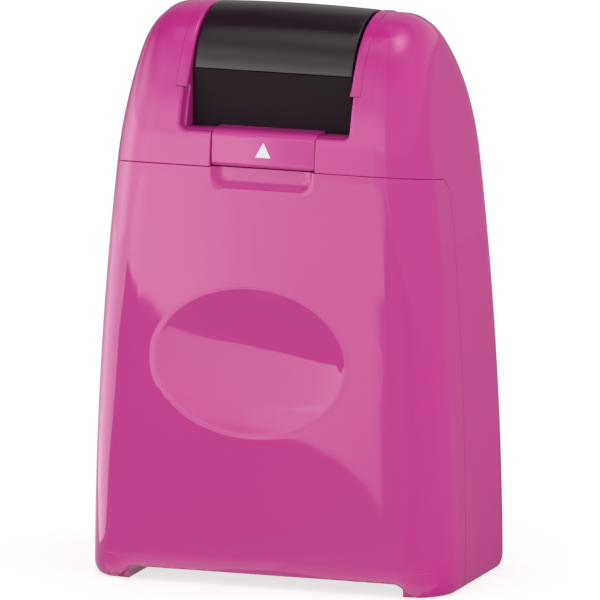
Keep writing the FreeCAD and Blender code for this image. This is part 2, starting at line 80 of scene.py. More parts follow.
Array = np.ndarray
Pair = tuple[float, float]
Series = tuple[float, ...]
Marks = tuple[Pair, ...]
Tree = bpy.types.NodeTree
Socket = bpy.types.NodeSocket
Material = bpy.types.Material


class Body(Enum):
    """The bodies of the frame that pieces ride on."""

    CASE = "case"
    CARTRIDGE = "cartridge"
    SHUTTER = "shutter"
    PRINT_ROLLER = "print_roller"
    INK_ROLLER = "ink_roller"


class Side(Enum):
    """A side of the stamp, by its sign along X."""

    RIGHT = 1.0
    LEFT = -1.0


# Small pieces of arithmetic


def smooth_rise(low: float, high: float, value: Array) -> Array:
    """Rise from 0 to 1 with level ends: 3t^2 - 2t^3 of the share t of the way from low to high."""
    share = np.clip((value - low) / (high - low), 0.0, 1.0)
    return share * share * (3.0 - 2.0 * share)


def round_over(gap: Array, drop: float, reach: float) -> Array:
    """Drop of a rounded edge: drop * (1 - sqrt(1 - (1 - gap / reach)^2)) within reach of the edge.

    Args:
        gap: Distance of each point from the edge.
        drop: Depth at the edge itself.
        reach: Distance at which the surface is whole again.

    Returns:
        Depth of each point under the unrounded surface.
    """
    near = 1.0 - np.clip(gap / reach, 0.0, 1.0)
    return drop * (1.0 - np.sqrt(1.0 - near * near))


def soft_max(value: Array, width: float) -> Array:
    """Larger of value and 0 with a blended bend: (v + sqrt(v^2 + width^2)) / 2."""
    return (value + np.sqrt(value * value + width * width)) / 2.0


def box_gap(across: Array, up: Array, half: float, low: float, high: float, bend: float) -> Array:
    """Distance outside a rounded box, and minus the depth inside it.

    With q = (|across| - half + bend, |up - middle| - half height + bend), it is
    |max(q, 0)| + min(max(q), 0) - bend.

    Args:
        across: Place along the box's width, from its middle.
        up: Place along its height.
        half: Half its width.
        low: Its lower edge.
        high: Its upper edge.
        bend: Radius of its corners.

    Returns:
        The signed distance of each point.
    """
    over = np.abs(across) - half + bend
    above = np.abs(up - (low + high) / 2.0) - (high - low) / 2.0 + bend
    outside = np.hypot(np.maximum(over, 0.0), np.maximum(above, 0.0))
    return outside + np.minimum(np.maximum(over, above), 0.0) - bend


def steps(*marks: Pair) -> Array:
    """Places from the first mark to the last, each span cut into even steps.

    Args:
        marks: Pairs of a place and the longest step allowed on the way to it from the one before.

    Returns:
        All places, each once.
    """
    places = [np.array([marks[0][0]])]
    for (start, _), (end, step) in zip(marks, marks[1:]):
        count = max(1, math.ceil(abs(end - start) / step - TINY))
        places.append(np.linspace(start, end, count + 1)[1:])
    return np.concatenate(places)


def beside(edge: float, marks: Marks) -> list[Pair]:
    """Marks for steps(), given by their distance from an edge."""
    return [(edge + offset, step) for offset, step in marks]


def rounded_outline(corners: list[Pair], radii: list[float], bends: int = 6) -> Array:
    """Closed outline through corners, each replaced by an arc of its radius where that isn't 0.

    The arc's centre lies on the corner's bisector at radius / sin(half the corner's angle), and its
    ends lie on the sides at radius / tan(half the angle).

    Args:
        corners: Corners in order.
        radii: Radius at each corner.
        bends: Steps of each arc.

    Returns:
        The outline's points, one row each.
    """
    count = len(corners)
    pieces = []
    for place, radius in enumerate(radii):
        corner = np.array(corners[place])
        back = np.array(corners[place - 1]) - corner
        ahead = np.array(corners[(place + 1) % count]) - corner
        back, ahead = back / np.linalg.norm(back), ahead / np.linalg.norm(ahead)
        if radius <= 0.0:
            pieces.append(corner[None, :])
            continue
        half = math.acos(np.clip(back @ ahead, -1.0, 1.0)) / 2.0
        middle = (back + ahead) / np.linalg.norm(back + ahead)
        centre = corner + middle * radius / math.sin(half)
        first = corner + back * radius / math.tan(half) - centre
        last = corner + ahead * radius / math.tan(half) - centre
        sweep = math.pi - 2.0 * half
        share = np.linspace(0.0, 1.0, bends + 1)[:, None]
        arc = (np.sin((1.0 - share) * sweep) * first + np.sin(share * sweep) * last) / math.sin(sweep)
        pieces.append(centre + arc)
    return np.concatenate(pieces)


def cut_finer(outline: Array, longest: float) -> Array:
    """The same closed outline with no side longer than a given length.

    Args:
        outline: Closed outline, one point a row.
        longest: Longest side allowed.

    Returns:
        The outline's points.
    """
    following = np.roll(outline, -1, axis=0)
    lengths = np.linalg.norm(following - outline, axis=1)
    counts = np.maximum(1, np.ceil(lengths / longest).astype(int))
    sides = np.repeat(np.arange(len(outline)), counts)
    starts = np.cumsum(counts) - counts
    share = (np.arange(counts.sum()) - starts[sides]) / counts[sides]
    return outline[sides] + (following - outline)[sides] * share[:, None]


def arc_points(radius: float, first: float, last: float, step: float) -> Array:
    """Points (-r cos a, r sin a) of an arc between two angles in degrees, counted up from the front.

    Args:
        radius: Radius of the arc.
        first: Its first angle.
        last: Its last angle.
        step: Longest step between points, in degrees.

    Returns:
        The arc's points, one row each.
    """
    count = max(2, math.ceil(abs(last - first) / step))
    angles = np.radians(np.linspace(first, last, count + 1))
    return np.stack([-radius * np.cos(angles), radius * np.sin(angles)], axis=1)


def turn_angles(count: int) -> Array:
    """Angles of a full turn, the last one short of the first."""
    return np.linspace(0.0, 2.0 * math.pi, count, endpoint=False)


# Skins: closed surfaces as arrays


@dataclass
class Skin:
    """Points of a closed surface in millimetres, and its faces by point number."""

    points: Array
    faces: list[Array]

    def turned_out(self) -> Skin:
        """This skin with its faces outwards: turned over where its volume comes out negative.

        The volume is the sum over all triangles of a . (b x c) / 6.

        Returns:
            The same surface with outward faces.
        """
        volume = 0.0
        for faces in self.faces:
            first = self.points[faces[:, 0]]
            for corner in range(1, faces.shape[1] - 1):
                pair = np.cross(self.points[faces[:, corner]], self.points[faces[:, corner + 1]])
                volume += float((first * pair).sum())
        if volume >= 0.0:
            return self
        return Skin(self.points, [faces[:, ::-1] for faces in self.faces])

    def mirrored(self) -> Skin:
        """The mirror image of this skin across the middle of the stamp."""
        return Skin(self.points * MIRROR, [faces[:, ::-1] for faces in self.faces])


def joined(skins: list[Skin]) -> Skin:
    """Several skins as one.

    Args:
        skins: The skins.

    Returns:
        One skin with all their points and faces.
    """
    counts = [len(skin.points) for skin in skins]
    shifts = np.cumsum([0] + counts[:-1])
    faces = [item + shift for skin, shift in zip(skins, shifts) for item in skin.faces]
    return Skin(np.concatenate([skin.points for skin in skins]), faces)


def grid_quads(rows: int, columns: int, round_rows: bool = False, round_columns: bool = False) -> Array:
    """Quads of a grid of points, numbered row by row.

    Args:
        rows: Number of rows.
        columns: Number of columns.
        round_rows: Whether the last row joins the first.
        round_columns: Whether the last column joins the first.

    Returns:
        One quad a row, in the order along the columns, then along the rows.
    """
    row = np.arange(rows if round_rows else rows - 1)[:, None]
    column = np.arange(columns if round_columns else columns - 1)[None, :]
    here, right = row * columns + column, row * columns + (column + 1) % columns
    below = (row + 1) % rows
    quads = np.stack([here, right, below * columns + (column + 1) % columns, below * columns + column], -1)
    return quads.reshape(-1, 4)


def weld(points: Array, quads: Array) -> tuple[Array, list[Array]]:
    """Merges points that lie together.

    Args:
        points: Points of a grid.
        quads: Its quads.

    Returns:
        The number of a point that stands for each merged one, and the faces by merged number:
        whole quads, and the triangles left where a side has shrunk to nothing.
    """
    keys = np.round(points, WELD_PLACES) + 0.0
    _, first, merged = np.unique(keys, axis=0, return_index=True, return_inverse=True)
    faces = merged.reshape(-1)[quads]
    shrunk = faces == np.roll(faces, -1, axis=1)
    lost = shrunk.sum(axis=1)
    triangles = faces[lost == 1][~shrunk[lost == 1]].reshape(-1, 3)
    return first, [faces[lost == 0], triangles]


def closed_shell(outer: Array, inner: Array, quads: Array) -> Skin:
    """Closed wall between two sheets with the same quads: both sheets, and a rim along every free edge.

    Args:
        outer: Points of the outer sheet.
        inner: Points of the inner sheet.
        quads: Quads that both keep, facing out.

    Returns:
        The wall.
    """
    first, faces = weld(outer, quads)
    count = len(first)
    edges = np.concatenate([
        np.stack([item, np.roll(item, -1, axis=1)], axis=-1).reshape(-1, 2) for item in faces])
    there, back = edges[:, 0] * count + edges[:, 1], edges[:, 1] * count + edges[:, 0]
    free = edges[~np.isin(there, back)]
    rim = np.stack([free[:, 1], free[:, 0], free[:, 0] + count, free[:, 1] + count], axis=1)
    backs = [item[:, ::-1] + count for item in faces]
    kept, numbers = np.unique(np.concatenate([item.reshape(-1) for item in faces + [rim] + backs]),
                              return_inverse=True)
    whole = np.concatenate([outer[first], inner[first]])
    shapes = [item.shape for item in faces + [rim] + backs]
    ends = np.cumsum([height * width for height, width in shapes])[:-1]
    split = [part.reshape(shape) for part, shape in zip(np.split(numbers.reshape(-1), ends), shapes)]
    return Skin(whole[kept], split)


def slab(outline: Array, low: float, high: float, low_round: Array | float,
         high_round: Array | float, bends: int = 5, between: int = 0) -> Skin:
    """Outline in the (y, z) plane carried along X, with rounded edges at both ends.

    At angle t of a rounded edge of radius r, the outline is drawn in by r * (1 - sin t) and stands
    r * (1 - cos t) from the end plane.

    Args:
        outline: Closed outline, one (y, z) a row.
        low: Its lower end along X.
        high: Its upper end.
        low_round: Edge radius at the lower end, one value or one for each point.
        high_round: Edge radius at the upper end.
        bends: Steps of a rounded edge.
        between: Rings between the two rounded edges.

    Returns:
        The slab.
    """
    following, before = np.roll(outline, -1, axis=0), np.roll(outline, 1, axis=0)
    area = (outline[:, 0] * following[:, 1] - following[:, 0] * outline[:, 1]).sum()
    if area < 0.0:
        return slab(outline[::-1], low, high, np.broadcast_to(low_round, len(outline))[::-1],
                    np.broadcast_to(high_round, len(outline))[::-1], bends, between)
    ahead, behind = following - outline, outline - before
    ahead = ahead / np.linalg.norm(ahead, axis=1)[:, None]
    behind = behind / np.linalg.norm(behind, axis=1)[:, None]
    out = np.stack([(ahead + behind)[:, 1], -(ahead + behind)[:, 0]], axis=1)
    out = out / np.maximum(np.linalg.norm(out, axis=1), TINY)[:, None]
    lean = (out * np.stack([ahead[:, 1], -ahead[:, 0]], axis=1)).sum(axis=1)
    out = out / np.maximum(lean, LEAST_LEAN)[:, None]
    turn = np.linspace(0.0, QUARTER, bends + 1)
    rings = []
    for end, radius, angles in ((low, low_round, turn), (high, high_round, turn[::-1])):
        radius = np.broadcast_to(radius, len(outline))[None, :, None]
        angle = angles[:, None, None]
        flat = outline[None] - out[None] * radius * (1.0 - np.sin(angle))
        stand = radius * (1.0 - np.cos(angle))
        along = end + stand if end == low else end - stand
        rings.append(np.concatenate([np.broadcast_to(along, flat.shape[:2] + (1,)), flat], axis=2))
    if between:
        share = np.linspace(0.0, 1.0, between + 2)[1:-1, None, None]
        rings.insert(1, rings[0][-1:] * (1.0 - share) + rings[1][:1] * share)
    points = np.concatenate(rings)
    rows, columns = points.shape[:2]
    quads = grid_quads(rows, columns, round_columns=True)
    caps = [np.arange(columns)[None, ::-1], (np.arange(columns) + (rows - 1) * columns)[None, :]]
    return Skin(points.reshape(-1, 3), [quads] + caps).turned_out()


def revolved(profile: Array, centre: Pair, turns: int,
             relief: Array | float = 0.0) -> Skin:
    """Closed (x, radius) profile turned about an X axis: (x, cy + r cos a, cz + r sin a).

    Args:
        profile: Closed profile, one (x, radius) a row.
        centre: The axis as (y, z).
        turns: Points round the axis.
        relief: Height added to the radius, by place on the profile and turn.

    Returns:
        The turned form.
    """
    angle = turn_angles(turns)[None, :]
    radius = np.repeat(profile[:, 1:2], turns, axis=1) + relief
    along = np.repeat(profile[:, 0:1], turns, axis=1)
    points = np.stack([along, centre[0] + radius * np.cos(angle), centre[1] + radius * np.sin(angle)], -1)
    points = points.reshape(-1, 3)
    first, faces = weld(points, grid_quads(len(profile), turns, True, True))
    return Skin(points[first], faces).turned_out()


def turned_sheet(radius: Array, height: Array, turns: int) -> tuple[Array, list[Array]]:
    """Open profile turned about Z: (r cos a, r sin a, z), with its points merged in the middle.

    Args:
        radius: Distance of each row from Z.
        height: Height of each row.
        turns: Points round Z.

    Returns:
        The points, and the faces by point number.
    """
    angle = turn_angles(turns)[None, :]
    rows = [radius[:, None] * np.cos(angle), radius[:, None] * np.sin(angle), height[:, None] + 0.0 * angle]
    points = np.stack(rows, axis=-1).reshape(-1, 3)
    first, faces = weld(points, grid_quads(len(radius), turns, round_columns=True))
    return points[first], faces


def add_object(name: str, points: Array, faces: list[Array], material: Material) -> bpy.types.Object:
    """Puts a surface into the scene.

    Args:
        name: The name of the object and its mesh.
        points: Points in millimetres.
        faces: Faces by point number.
        material: Its material.

    Returns:
        The object.
    """
    mesh = bpy.data.meshes.new(name)
    mesh.from_pydata((points * MM).tolist(), [], [face for item in faces for face in item.tolist()])
    mesh.materials.append(material)
    made = bpy.data.objects.new(name, mesh)
    bpy.context.scene.collection.objects.link(made)
    return made


def make_piece(name: str, skin: Skin, finish: Finish, body: Body, *nodes: str) -> None:
    """Puts a skin into the scene as a piece that rides on a body and stands for CAD nodes.

    Args:
        name: The piece's name.
        skin: Its surface.
        finish: Its finish.
        body: The body that it rides on.
        nodes: The CAD nodes that it stands for.
    """
    piece = add_object(name, skin.points, skin.faces, finish.material())
    count = len(piece.data.polygons)
    piece.data.polygons.foreach_set("use_smooth", np.ones(count, dtype=bool))
    piece.data.set_sharp_from_angle(angle=SHARP_ANGLE)
    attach(piece, body.value)
    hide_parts(*nodes)
    LOG.info("%s: %d faces, %s, rides on %s", name, count, finish.title, body.value)


# Finishes


def linear(shade: str) -> tuple[float, float, float, float]:
    """An sRGB hex colour as linear light: ((c + 0.055) / 1.055)^2.4 above 0.04045, c / 12.92 below.

    Args:
        shade: Six hex digits.

    Returns:
        Red, green, blue and full opacity.
    """
    parts = [int(shade[place:place + 2], 16) / 255.0 for place in (0, 2, 4)]
    light = [((part + 0.055) / 1.055) ** 2.4 if part > 0.04045 else part / 12.92 for part in parts]
    return light[0], light[1], light[2], 1.0


def bare_tree(owner: bpy.types.ID) -> Tree:
    """The empty node tree of a new material or world.

    Args:
        owner: The material or world.

    Returns:
        Its tree, with nodes turned on and none in it.
    """
    owner.use_nodes = True
    owner.node_tree.nodes.clear()
    return owner.node_tree


def add_node(tree: Tree, kind: str, settings: dict[str, object] | None = None,
             links: dict[str | int, object] | None = None) -> bpy.types.Node:
    """Adds a node with its settings, and sets or links its sockets.

    Args:
        tree: The node tree.
        kind: The node's type name.
        settings: Properties of the node.
        links: For each socket, the socket that feeds it or the value that it holds.

    Returns:
        The node.
    """
    node = tree.nodes.new(kind)
    for name, value in (settings or {}).items():
        setattr(node, name, value)
    for name, value in (links or {}).items():
        if isinstance(value, Socket):
            tree.links.new(value, node.inputs[name])
        else:
            node.inputs[name].default_value = value
    return node


@dataclass(frozen=True)
class Finish:
    """What a piece is made of and how its surface was made.

    Lengths are in millimetres. fine is the size of the surface's finest marks, and broad that of
    its slow changes of shade and gloss.
    """

    title: str
    slot: str
    shade: str
    deep_shade: str
    roughness: float
    rough_change: float
    fine: float
    fine_height: float
    broad: float
    metallic: float = 0.0
    ior: float = 1.5
    specular: float = 0.5
    sheen: float = 0.0
    fine_detail: float = 2.0
    broad_detail: float = 2.0

    def material(self) -> Material:
        """The finish as a material, made once.

        Returns:
            The material.
        """
        if self.title in bpy.data.materials:
            return bpy.data.materials[self.title]
        material = bpy.data.materials.new(self.title)
        tree = bare_tree(material)
        place = add_node(tree, "ShaderNodeTexCoord").outputs["Object"]
        broad = self.noise(tree, place, self.broad, self.broad_detail)
        shade = add_node(tree, "ShaderNodeMix", {"data_type": "RGBA"}, {
            "Factor": broad, 6: linear(self.shade), 7: linear(self.deep_shade)})
        rough = add_node(tree, "ShaderNodeMapRange", {}, {
            "Value": broad, "To Min": self.roughness - self.rough_change,
            "To Max": self.roughness + self.rough_change})
        bump = add_node(tree, "ShaderNodeBump", {}, {
            "Strength": 1.0, "Distance": self.fine_height * MM, "Height": self.marks(tree, place)})
        shader = add_node(tree, "ShaderNodeBsdfPrincipled", {}, {
            "Base Color": shade.outputs[2], "Roughness": rough.outputs["Result"],
            "Metallic": self.metallic, "Normal": bump.outputs["Normal"], "Sheen Weight": self.sheen})
        if self.metallic < 1.0:
            shader.inputs["IOR"].default_value = self.ior
            shader.inputs["Specular IOR Level"].default_value = self.specular
        add_node(tree, "ShaderNodeOutputMaterial", {}, {"Surface": shader.outputs["BSDF"]})
        return material

    def noise(self, tree: Tree, place: Socket, grain: float,
              detail: float) -> Socket:
        """Noise with marks of a size in millimetres."""
        node = add_node(tree, "ShaderNodeTexNoise", {}, {
            "Vector": place, "Scale": 1.0 / (grain * MM), "Detail": detail})
        return node.outputs["Fac"]

    def marks(self, tree: Tree, place: Socket) -> Socket:
        """Height of the finest marks."""
        return self.noise(tree, place, self.fine, self.fine_detail)


@dataclass(frozen=True)
class GroundFinish(Finish):
    """A finish with grinding marks round the piece: noise drawn out along Y and Z."""

    drawn_out: float = 12.0

    def marks(self, tree: Tree, place: Socket) -> Socket:
        """Height of the grinding marks, short along X and long round it."""
        stretched = add_node(tree, "ShaderNodeMapping", {}, {
            "Vector": place, "Scale": (1.0, 1.0 / self.drawn_out, 1.0 / self.drawn_out)})
        return self.noise(tree, stretched.outputs["Vector"], self.fine, self.fine_detail)


# Glossy ABS, moulded in a polished tool: even saturated pink, a faint orange peel 2 mm across.
PINK = Finish("gloss_abs_moulded_pink", "pink_abs", "C1328A", "BE2F87", 0.04, 0.008, 2.2, 0.0006, 30.0,
              ior=1.53)
# Satin ABS from a fine spark-eroded tool. Its grain is about 0.05 mm, drawn as 0.15 mm so that it shows.
BLACK = Finish("satin_abs_moulded_black", "black_abs", "281C25", "241821", 0.14, 0.02, 0.15, 0.0008, 14.0,
               ior=1.53, specular=0.42)
# The same ABS from a coarser spark-eroded tool: the panel under the shutter hardly shines at all.
MATT_BLACK = Finish("matt_abs_moulded_black", "black_abs", "261D22", "221A1F", 0.6, 0.04, 0.2, 0.004, 14.0,
                    ior=1.53, specular=0.06)
# Pad-printed ink: a thin matt coat with a slightly uneven edge of gloss.
WHITE = Finish("pad_printed_ink_white", "white_ink", "E9E4E8", "E2DCE1", 0.45, 0.05, 0.12, 0.003, 1.5)
# Centreless-ground steel pin: fine marks round the pin.
STEEL = GroundFinish("ground_steel_pin", "steel_pin", "B9B9B6", "A8A8A6", 0.24, 0.05, 0.08, 0.002, 3.0,
                     metallic=1.0)
# Natural acetal: waxy off-white, slightly glossy.
ACETAL = Finish("acetal_moulded_natural", "acetal", "E3E1D8", "D9D7CC", 0.38, 0.04, 0.5, 0.002, 6.0,
                ior=1.48)
# Print rubber, moulded and wet with ink: near black with a dull shine.
RUBBER = Finish("print_rubber_inked", "print_rubber", "2A2A33", "1B1B24", 0.42, 0.12, 0.25, 0.006, 3.0,
                ior=1.52)
# Wool felt soaked in ink: fibres about 0.2 mm across in every direction.
FELT = Finish("ink_felt_soaked", "ink_felt", "17171F", "101018", 0.85, 0.08, 0.22, 0.09, 2.5, sheen=0.3,
              fine_detail=5.0)


# The case


@dataclass(frozen=True)
class CaseForm:
    """Outer form of the case: straight walls, a dome of three arcs, and sides that bow inwards.

    The corners between the sides and the band over front, dome and back are those of a ball that
    rolls along both.
    """

    height: float = 93.0
    depth: float = 36.0
    foot_half_width: float = 31.0
    top_half_width: float = 23.6
    bow_radius: float = 620.0
    dome_height: float = 26.2
    crest_radius: float = 12.75
    crest_y: float = -1.1
    corner_radius: float = 7.6

    def bow_centre(self) -> Pair:
        """Centre (x, z) of the right side's arc, which goes through foot and top at bow_radius.

        Returns:
            The centre.
        """
        foot, top = np.array([self.foot_half_width, 0.0]), np.array([self.top_half_width, self.height])
        chord = top - foot
        length = float(np.linalg.norm(chord))
        rise = math.sqrt(self.bow_radius ** 2 - (length / 2.0) ** 2)
        centre = (foot + top) / 2.0 + np.array([-chord[1], chord[0]]) / length * rise
        return float(centre[0]), float(centre[1])

    def profile(self, climb: Array, way: Array, inset: float) -> tuple[Array, Array, Array, Array]:
        """Side view of the case, as an arc of each part about its hub.

        Args:
            climb: 0 to 1 up the wall, and 1 to TOP_CLIMB as the outward normal turns upright.
            way: -1 in front and 1 behind.
            inset: How far inside the outer form.

        Returns:
            y and z of the points, and y and z of their outward normals.
        """
        wall, start = self.depth / 2.0, self.height - self.dome_height
        middle = self.height - self.crest_radius
        across = wall - way * self.crest_y
        flank = (across ** 2 + self.dome_height ** 2 - 2.0 * self.dome_height * self.crest_radius) / (
            2.0 * (across - self.crest_radius))
        hub = way * (wall - flank)
        meet = np.arctan2(middle - start, np.abs(self.crest_y - hub))
        turn = np.clip(climb - 1.0, 0.0, 1.0) * QUARTER
        on_flank = turn < meet
        reach = np.where(on_flank, flank, self.crest_radius) - inset
        normal_y, normal_z = way * np.cos(turn), np.sin(turn)
        y = np.where(on_flank, hub, self.crest_y) + reach * normal_y
        z = np.where(on_flank, start, middle) + reach * normal_z + np.minimum(climb - 1.0, 0.0) * start
        return y, z, normal_y, normal_z

    def front_y(self, z: Array) -> Array:
        """y of the front face at a height.

        Args:
            z: Height.

        Returns:
            The face's y.
        """
        climb = np.linspace(0.0, TOP_CLIMB, FACE_TABLE)
        y, heights, _, _ = self.profile(climb, np.full_like(climb, -1.0), 0.0)
        return np.interp(z, heights, y)

    def corner(self, climb: Array, way: Array, share: Array, inset: float) -> tuple[Array, Array, Array]:
        """Right corner of the case, where a ball rolls between the band and the side.

        The ball's centre is a corner radius inside both. The surface stands off it along the arc
        from the band's normal (share 0) to the side's (share 1).

        Args:
            climb: Place along the profile.
            way: -1 in front and 1 behind.
            share: Place across the corner.
            inset: How far inside the outer form.

        Returns:
            Points, their outward normals and the x of the ball's centre.
        """
        y, z, normal_y, normal_z = self.profile(climb, way, self.corner_radius)
        bow_x, bow_z = self.bow_centre()
        reach = self.bow_radius - self.corner_radius
        ball_x = bow_x + np.sqrt(reach ** 2 - (z - bow_z) ** 2)
        side_x, side_z = (ball_x - bow_x) / reach, (z - bow_z) / reach
        angle = np.arccos(normal_z * side_z)
        band_part = np.sin((1.0 - share) * angle) / np.sin(angle)
        side_part = np.sin(share * angle) / np.sin(angle)
        normal = np.stack([side_part * side_x, band_part * normal_y,
                           band_part * normal_z + side_part * side_z], axis=-1)
        centre = np.stack([ball_x, y, z], axis=-1)
        return centre + (self.corner_radius - inset) * normal, normal, ball_x

    def side(self, z: Array, inset: float) -> tuple[Array, Array, Array]:
        """x of the right side at a height, and x and z of its outward normal.

        Args:
            z: Height.
            inset: How far inside the outer form.

        Returns:
            x, and the normal's x and z.
        """
        bow_x, bow_z = self.bow_centre()
        reach = self.bow_radius - inset
        x = bow_x + np.sqrt(reach ** 2 - (z - bow_z) ** 2)
        return x, (x - bow_x) / reach, (z - bow_z) / reach


@dataclass(frozen=True)
class Rows:
    """Rows of a case sheet, from its front edge up, and over the crest to its rear edge.

    way is -1 in front and 1 behind, level is the height of a level row, and rise is the share of
    the way from the highest level row to the crest, which is 0 on level rows.
    """

    way: Array
    level: Array
    rise: Array


@dataclass(frozen=True)
class Columns:
    """Columns of half a case sheet, from its middle to the meeting line on its side.

    fixed are places along X, spread are shares of the way from the last of them to the corner,
    turned are shares of the corner, and aside are shares of the way across the side.
    """

    fixed: Array
    spread: Array
    turned: Array
    aside: Array


@dataclass(frozen=True)
class Sheet:
    """Half of the outer or the inner sheet of a case wall, as if on the right.

    inset is 0 for the outer sheet and the wall for the inner one. gap is half the gap of the joint
    line: positive for the housing, negative for the cover. side is the half that the sheet is meant
    for, because the thumb dishes aren't in the middle.
    """

    rows: Rows
    columns: Columns
    inset: float
    gap: float
    side: Side


@dataclass
class Case:
    """The fixed case: rear housing with its sills, front cover, guide cheeks, base plate and cradle."""

    form: CaseForm = field(default_factory=CaseForm)
    wall: float = 1.8
    foot_drop: float = 1.2
    foot_reach: float = 2.3
    foot_line_z: float = 4.2
    foot_line_half: float = 0.13
    foot_line_depth: float = 0.08
    arch_half: float = 22.0
    arch_foot_half: float = 26.6
    arch_rise: float = 2.1
    arch_fade: float = 6.0
    seam_z: float = 69.0
    seam_fall: float = 2.25
    fall_start: float = 58.0
    fall_end: float = 74.7
    seam_bend: float = 3.4
    seam_corner: float = 4.0
    seam_top_y: float = -4.1
    seam_foot_y: float = -7.1
    seam_gap: float = 0.025
    edge_round: float = 0.13
    joint_round: float = 0.05
    sill_z: float = 74.7
    sill_thickness: float = 1.5
    shoulder_z: float = 81.3
    window_half: float = 14.4
    window_bend: float = 1.0
    window_round: float = 0.55
    upper_half: float = 15.7
    guide_half_gap: float = 13.9
    cradle_bottom_z: float = 58.76
    crown_round: float = 0.6
    slot_half: float = 8.965
    scoop_half: float = 8.8
    scoop_low: float = 65.5
    scoop_bend: float = 2.2
    scoop_depth: float = 1.0
    scoop_slope: float = 1.35
    dish_z: float = 37.2
    dish_shift: float = 2.1
    dish_half_width: float = 16.3
    dish_half_height: float = 12.0
    dish_depth: float = 2.5
    dish_bulge: float = 8.5
    dish_blend: float = 0.12
    panel_y: float = -12.87
    rear_sill_y: float = 12.35
    lowest_climb: float = -0.05
    lowest_z: float = -2.0
    dish_fade: float = 0.05
    sill_sunk: float = 0.01
    sill_lap: float = 1.08
    sill_back: float = 2.6
    sill_round: float = 0.15
    sill_end_round: float = 0.1
    skirt_gap: float = 0.05
    crown_from: float = 0.08
    step_from: float = 0.06
    crown_fade: float = 1.5
    skirt_round: float = 0.1
    cheek_gap: float = 0.01
    centre_marks: Marks = ((0.0, 1.0), (7.0, 0.4))
    slot_marks: Marks = ((-0.35, 0.35), (-0.1, 0.12), (0.0, 0.1), (0.16, 0.04), (0.6, 0.25))
    window_marks: Marks = ((-1.2, 0.4), (-0.2, 0.25), (0.0, 0.1), (0.6, 0.06))
    upper_marks: Marks = ((-0.2, 0.3), (0.0, 0.1), (0.16, 0.04), (0.2, 0.1))
    spread_marks: Marks = ((0.0, 1.0), (0.5, 0.05), (0.66, 0.044), (0.7, 0.04), (0.9, 0.034), (1.0, 0.05))
    aside_marks: Marks = ((0.0, 1.0), (0.016, 0.004), (0.04, 0.012), (0.1, 0.03), (1.0, 0.1))
    corner_columns: int = 15
    joint_marks: Marks = ((0.0, 1.0), (0.16, 0.04), (0.7, 0.3))
    cover_marks: Marks = ((-0.2, 1.0), (0.0, 0.05))
    sill_marks: Marks = ((-0.8, 0.8), (-0.36, 0.2), (0.0, 0.06))
    shoulder_marks: Marks = ((-0.5, 0.7), (-0.16, 0.2), (0.0, 0.04))
    foot_marks: Marks = ((0.0, 1.0), (0.6, 0.12))
    cover_dish_step: float = 0.25
    back_dish_step: float = 0.55
    fall_rounds: int = 14
    foot_line_ends: Pair = (12.0, 17.0)
    dish_wall_y: float = 10.0
    beyond: float = 20.0
    bend_above: float = 2.5
    bend_aside: float = 2.0

    def build(self) -> None:
        """Builds and dresses the case's pieces."""
        make_piece("housing_shell", self.housing(), PINK, Body.CASE, "rear_housing")
        make_piece("cover_shell", self.cover(), PINK, Body.CASE, "front_cover")
        cheek = self.cheek()
        make_piece("right_cheek_crown", cheek, PINK, Body.CASE, "right_guide_cheek")
        make_piece("left_cheek_crown", cheek.mirrored(), PINK, Body.CASE, "left_guide_cheek")

    def arch_edge(self, x: Array) -> Array:
        """Height of the lower edge: the arch in the middle, then an S-curve down to each foot."""
        return self.arch_rise * (1.0 - smooth_rise(self.arch_half, self.arch_foot_half, np.abs(x)))

    def seam_slope(self) -> float:
        """Fall of the joint line for each millimetre back from the front face."""
        return self.seam_fall / (self.form.depth / 2.0 + self.seam_top_y)

    def fallen(self, level: Array, y: Array) -> Array:
        """Fall of a row of the front behind the front face.

        The row of the joint line falls with it, and rows above and below it fall by less, down to 0
        at fall_start and at fall_end.

        Args:
            level: Height of the row on the front face.
            y: Place along the row.

        Returns:
            The fall.
        """
        below = np.clip((level - self.fall_start) / (self.seam_z - self.fall_start), 0.0, 1.0)
        above = np.clip((self.fall_end - level) / (self.fall_end - self.seam_z), 0.0, 1.0)
        return self.seam_slope() * (y + self.form.depth / 2.0) * np.minimum(below, above)

    def level_of(self, y: Array, z: Array) -> Array:
        """Level of the front's row that goes through a point of the side, found step by step.

        Args:
            y: y of the point.
            z: Its height.

        Returns:
            The level, which is z plus the row's own fall.
        """
        level = z
        for _ in range(self.fall_rounds):
            level = z + self.fallen(level, y)
        return level

    def seam_centre(self) -> tuple[float, float, float]:
        """Centre (y, z) of the joint line's bend, and the angle at which the bend ends.

        Returns:
            y and z of the centre, and the angle.
        """
        low = np.array([self.seam_top_y, self.seam_z - self.seam_fall - self.seam_bend])
        back = self.seam_top_y - self.seam_bend
        high = np.array([back, self.seam_z - self.seam_slope() * (back + self.form.depth / 2.0)])
        chord = high - low
        length = float(np.linalg.norm(chord))
        stand = math.sqrt(self.seam_corner ** 2 - (length / 2.0) ** 2)
        centre = (low + high) / 2.0 + np.array([-chord[1], chord[0]]) / length * stand
        return float(centre[0]), float(centre[1]), math.atan2(high[1] - centre[1], high[0] - centre[0])

    def seam_line(self, gap: float) -> tuple[Array, Array]:
        """Joint line on the side, from the foot to the end of its bend, moved back by gap.

        Args:
            gap: Distance from the middle of the joint line.

        Returns:
            y and z of its points.
        """
        centre_y, centre_z, end = self.seam_centre()
        turn = np.linspace(0.0, end, BEND_TABLE)
        low = np.linspace(self.lowest_z, centre_z, LEAN_TABLE)[:-1]
        lean = self.seam_foot_y + (self.seam_top_y - self.seam_foot_y) * low / centre_z + gap
        reach = self.seam_corner + gap
        return (np.concatenate([lean, centre_y + reach * np.cos(turn)]),
                np.concatenate([low, centre_z + reach * np.sin(turn)]))

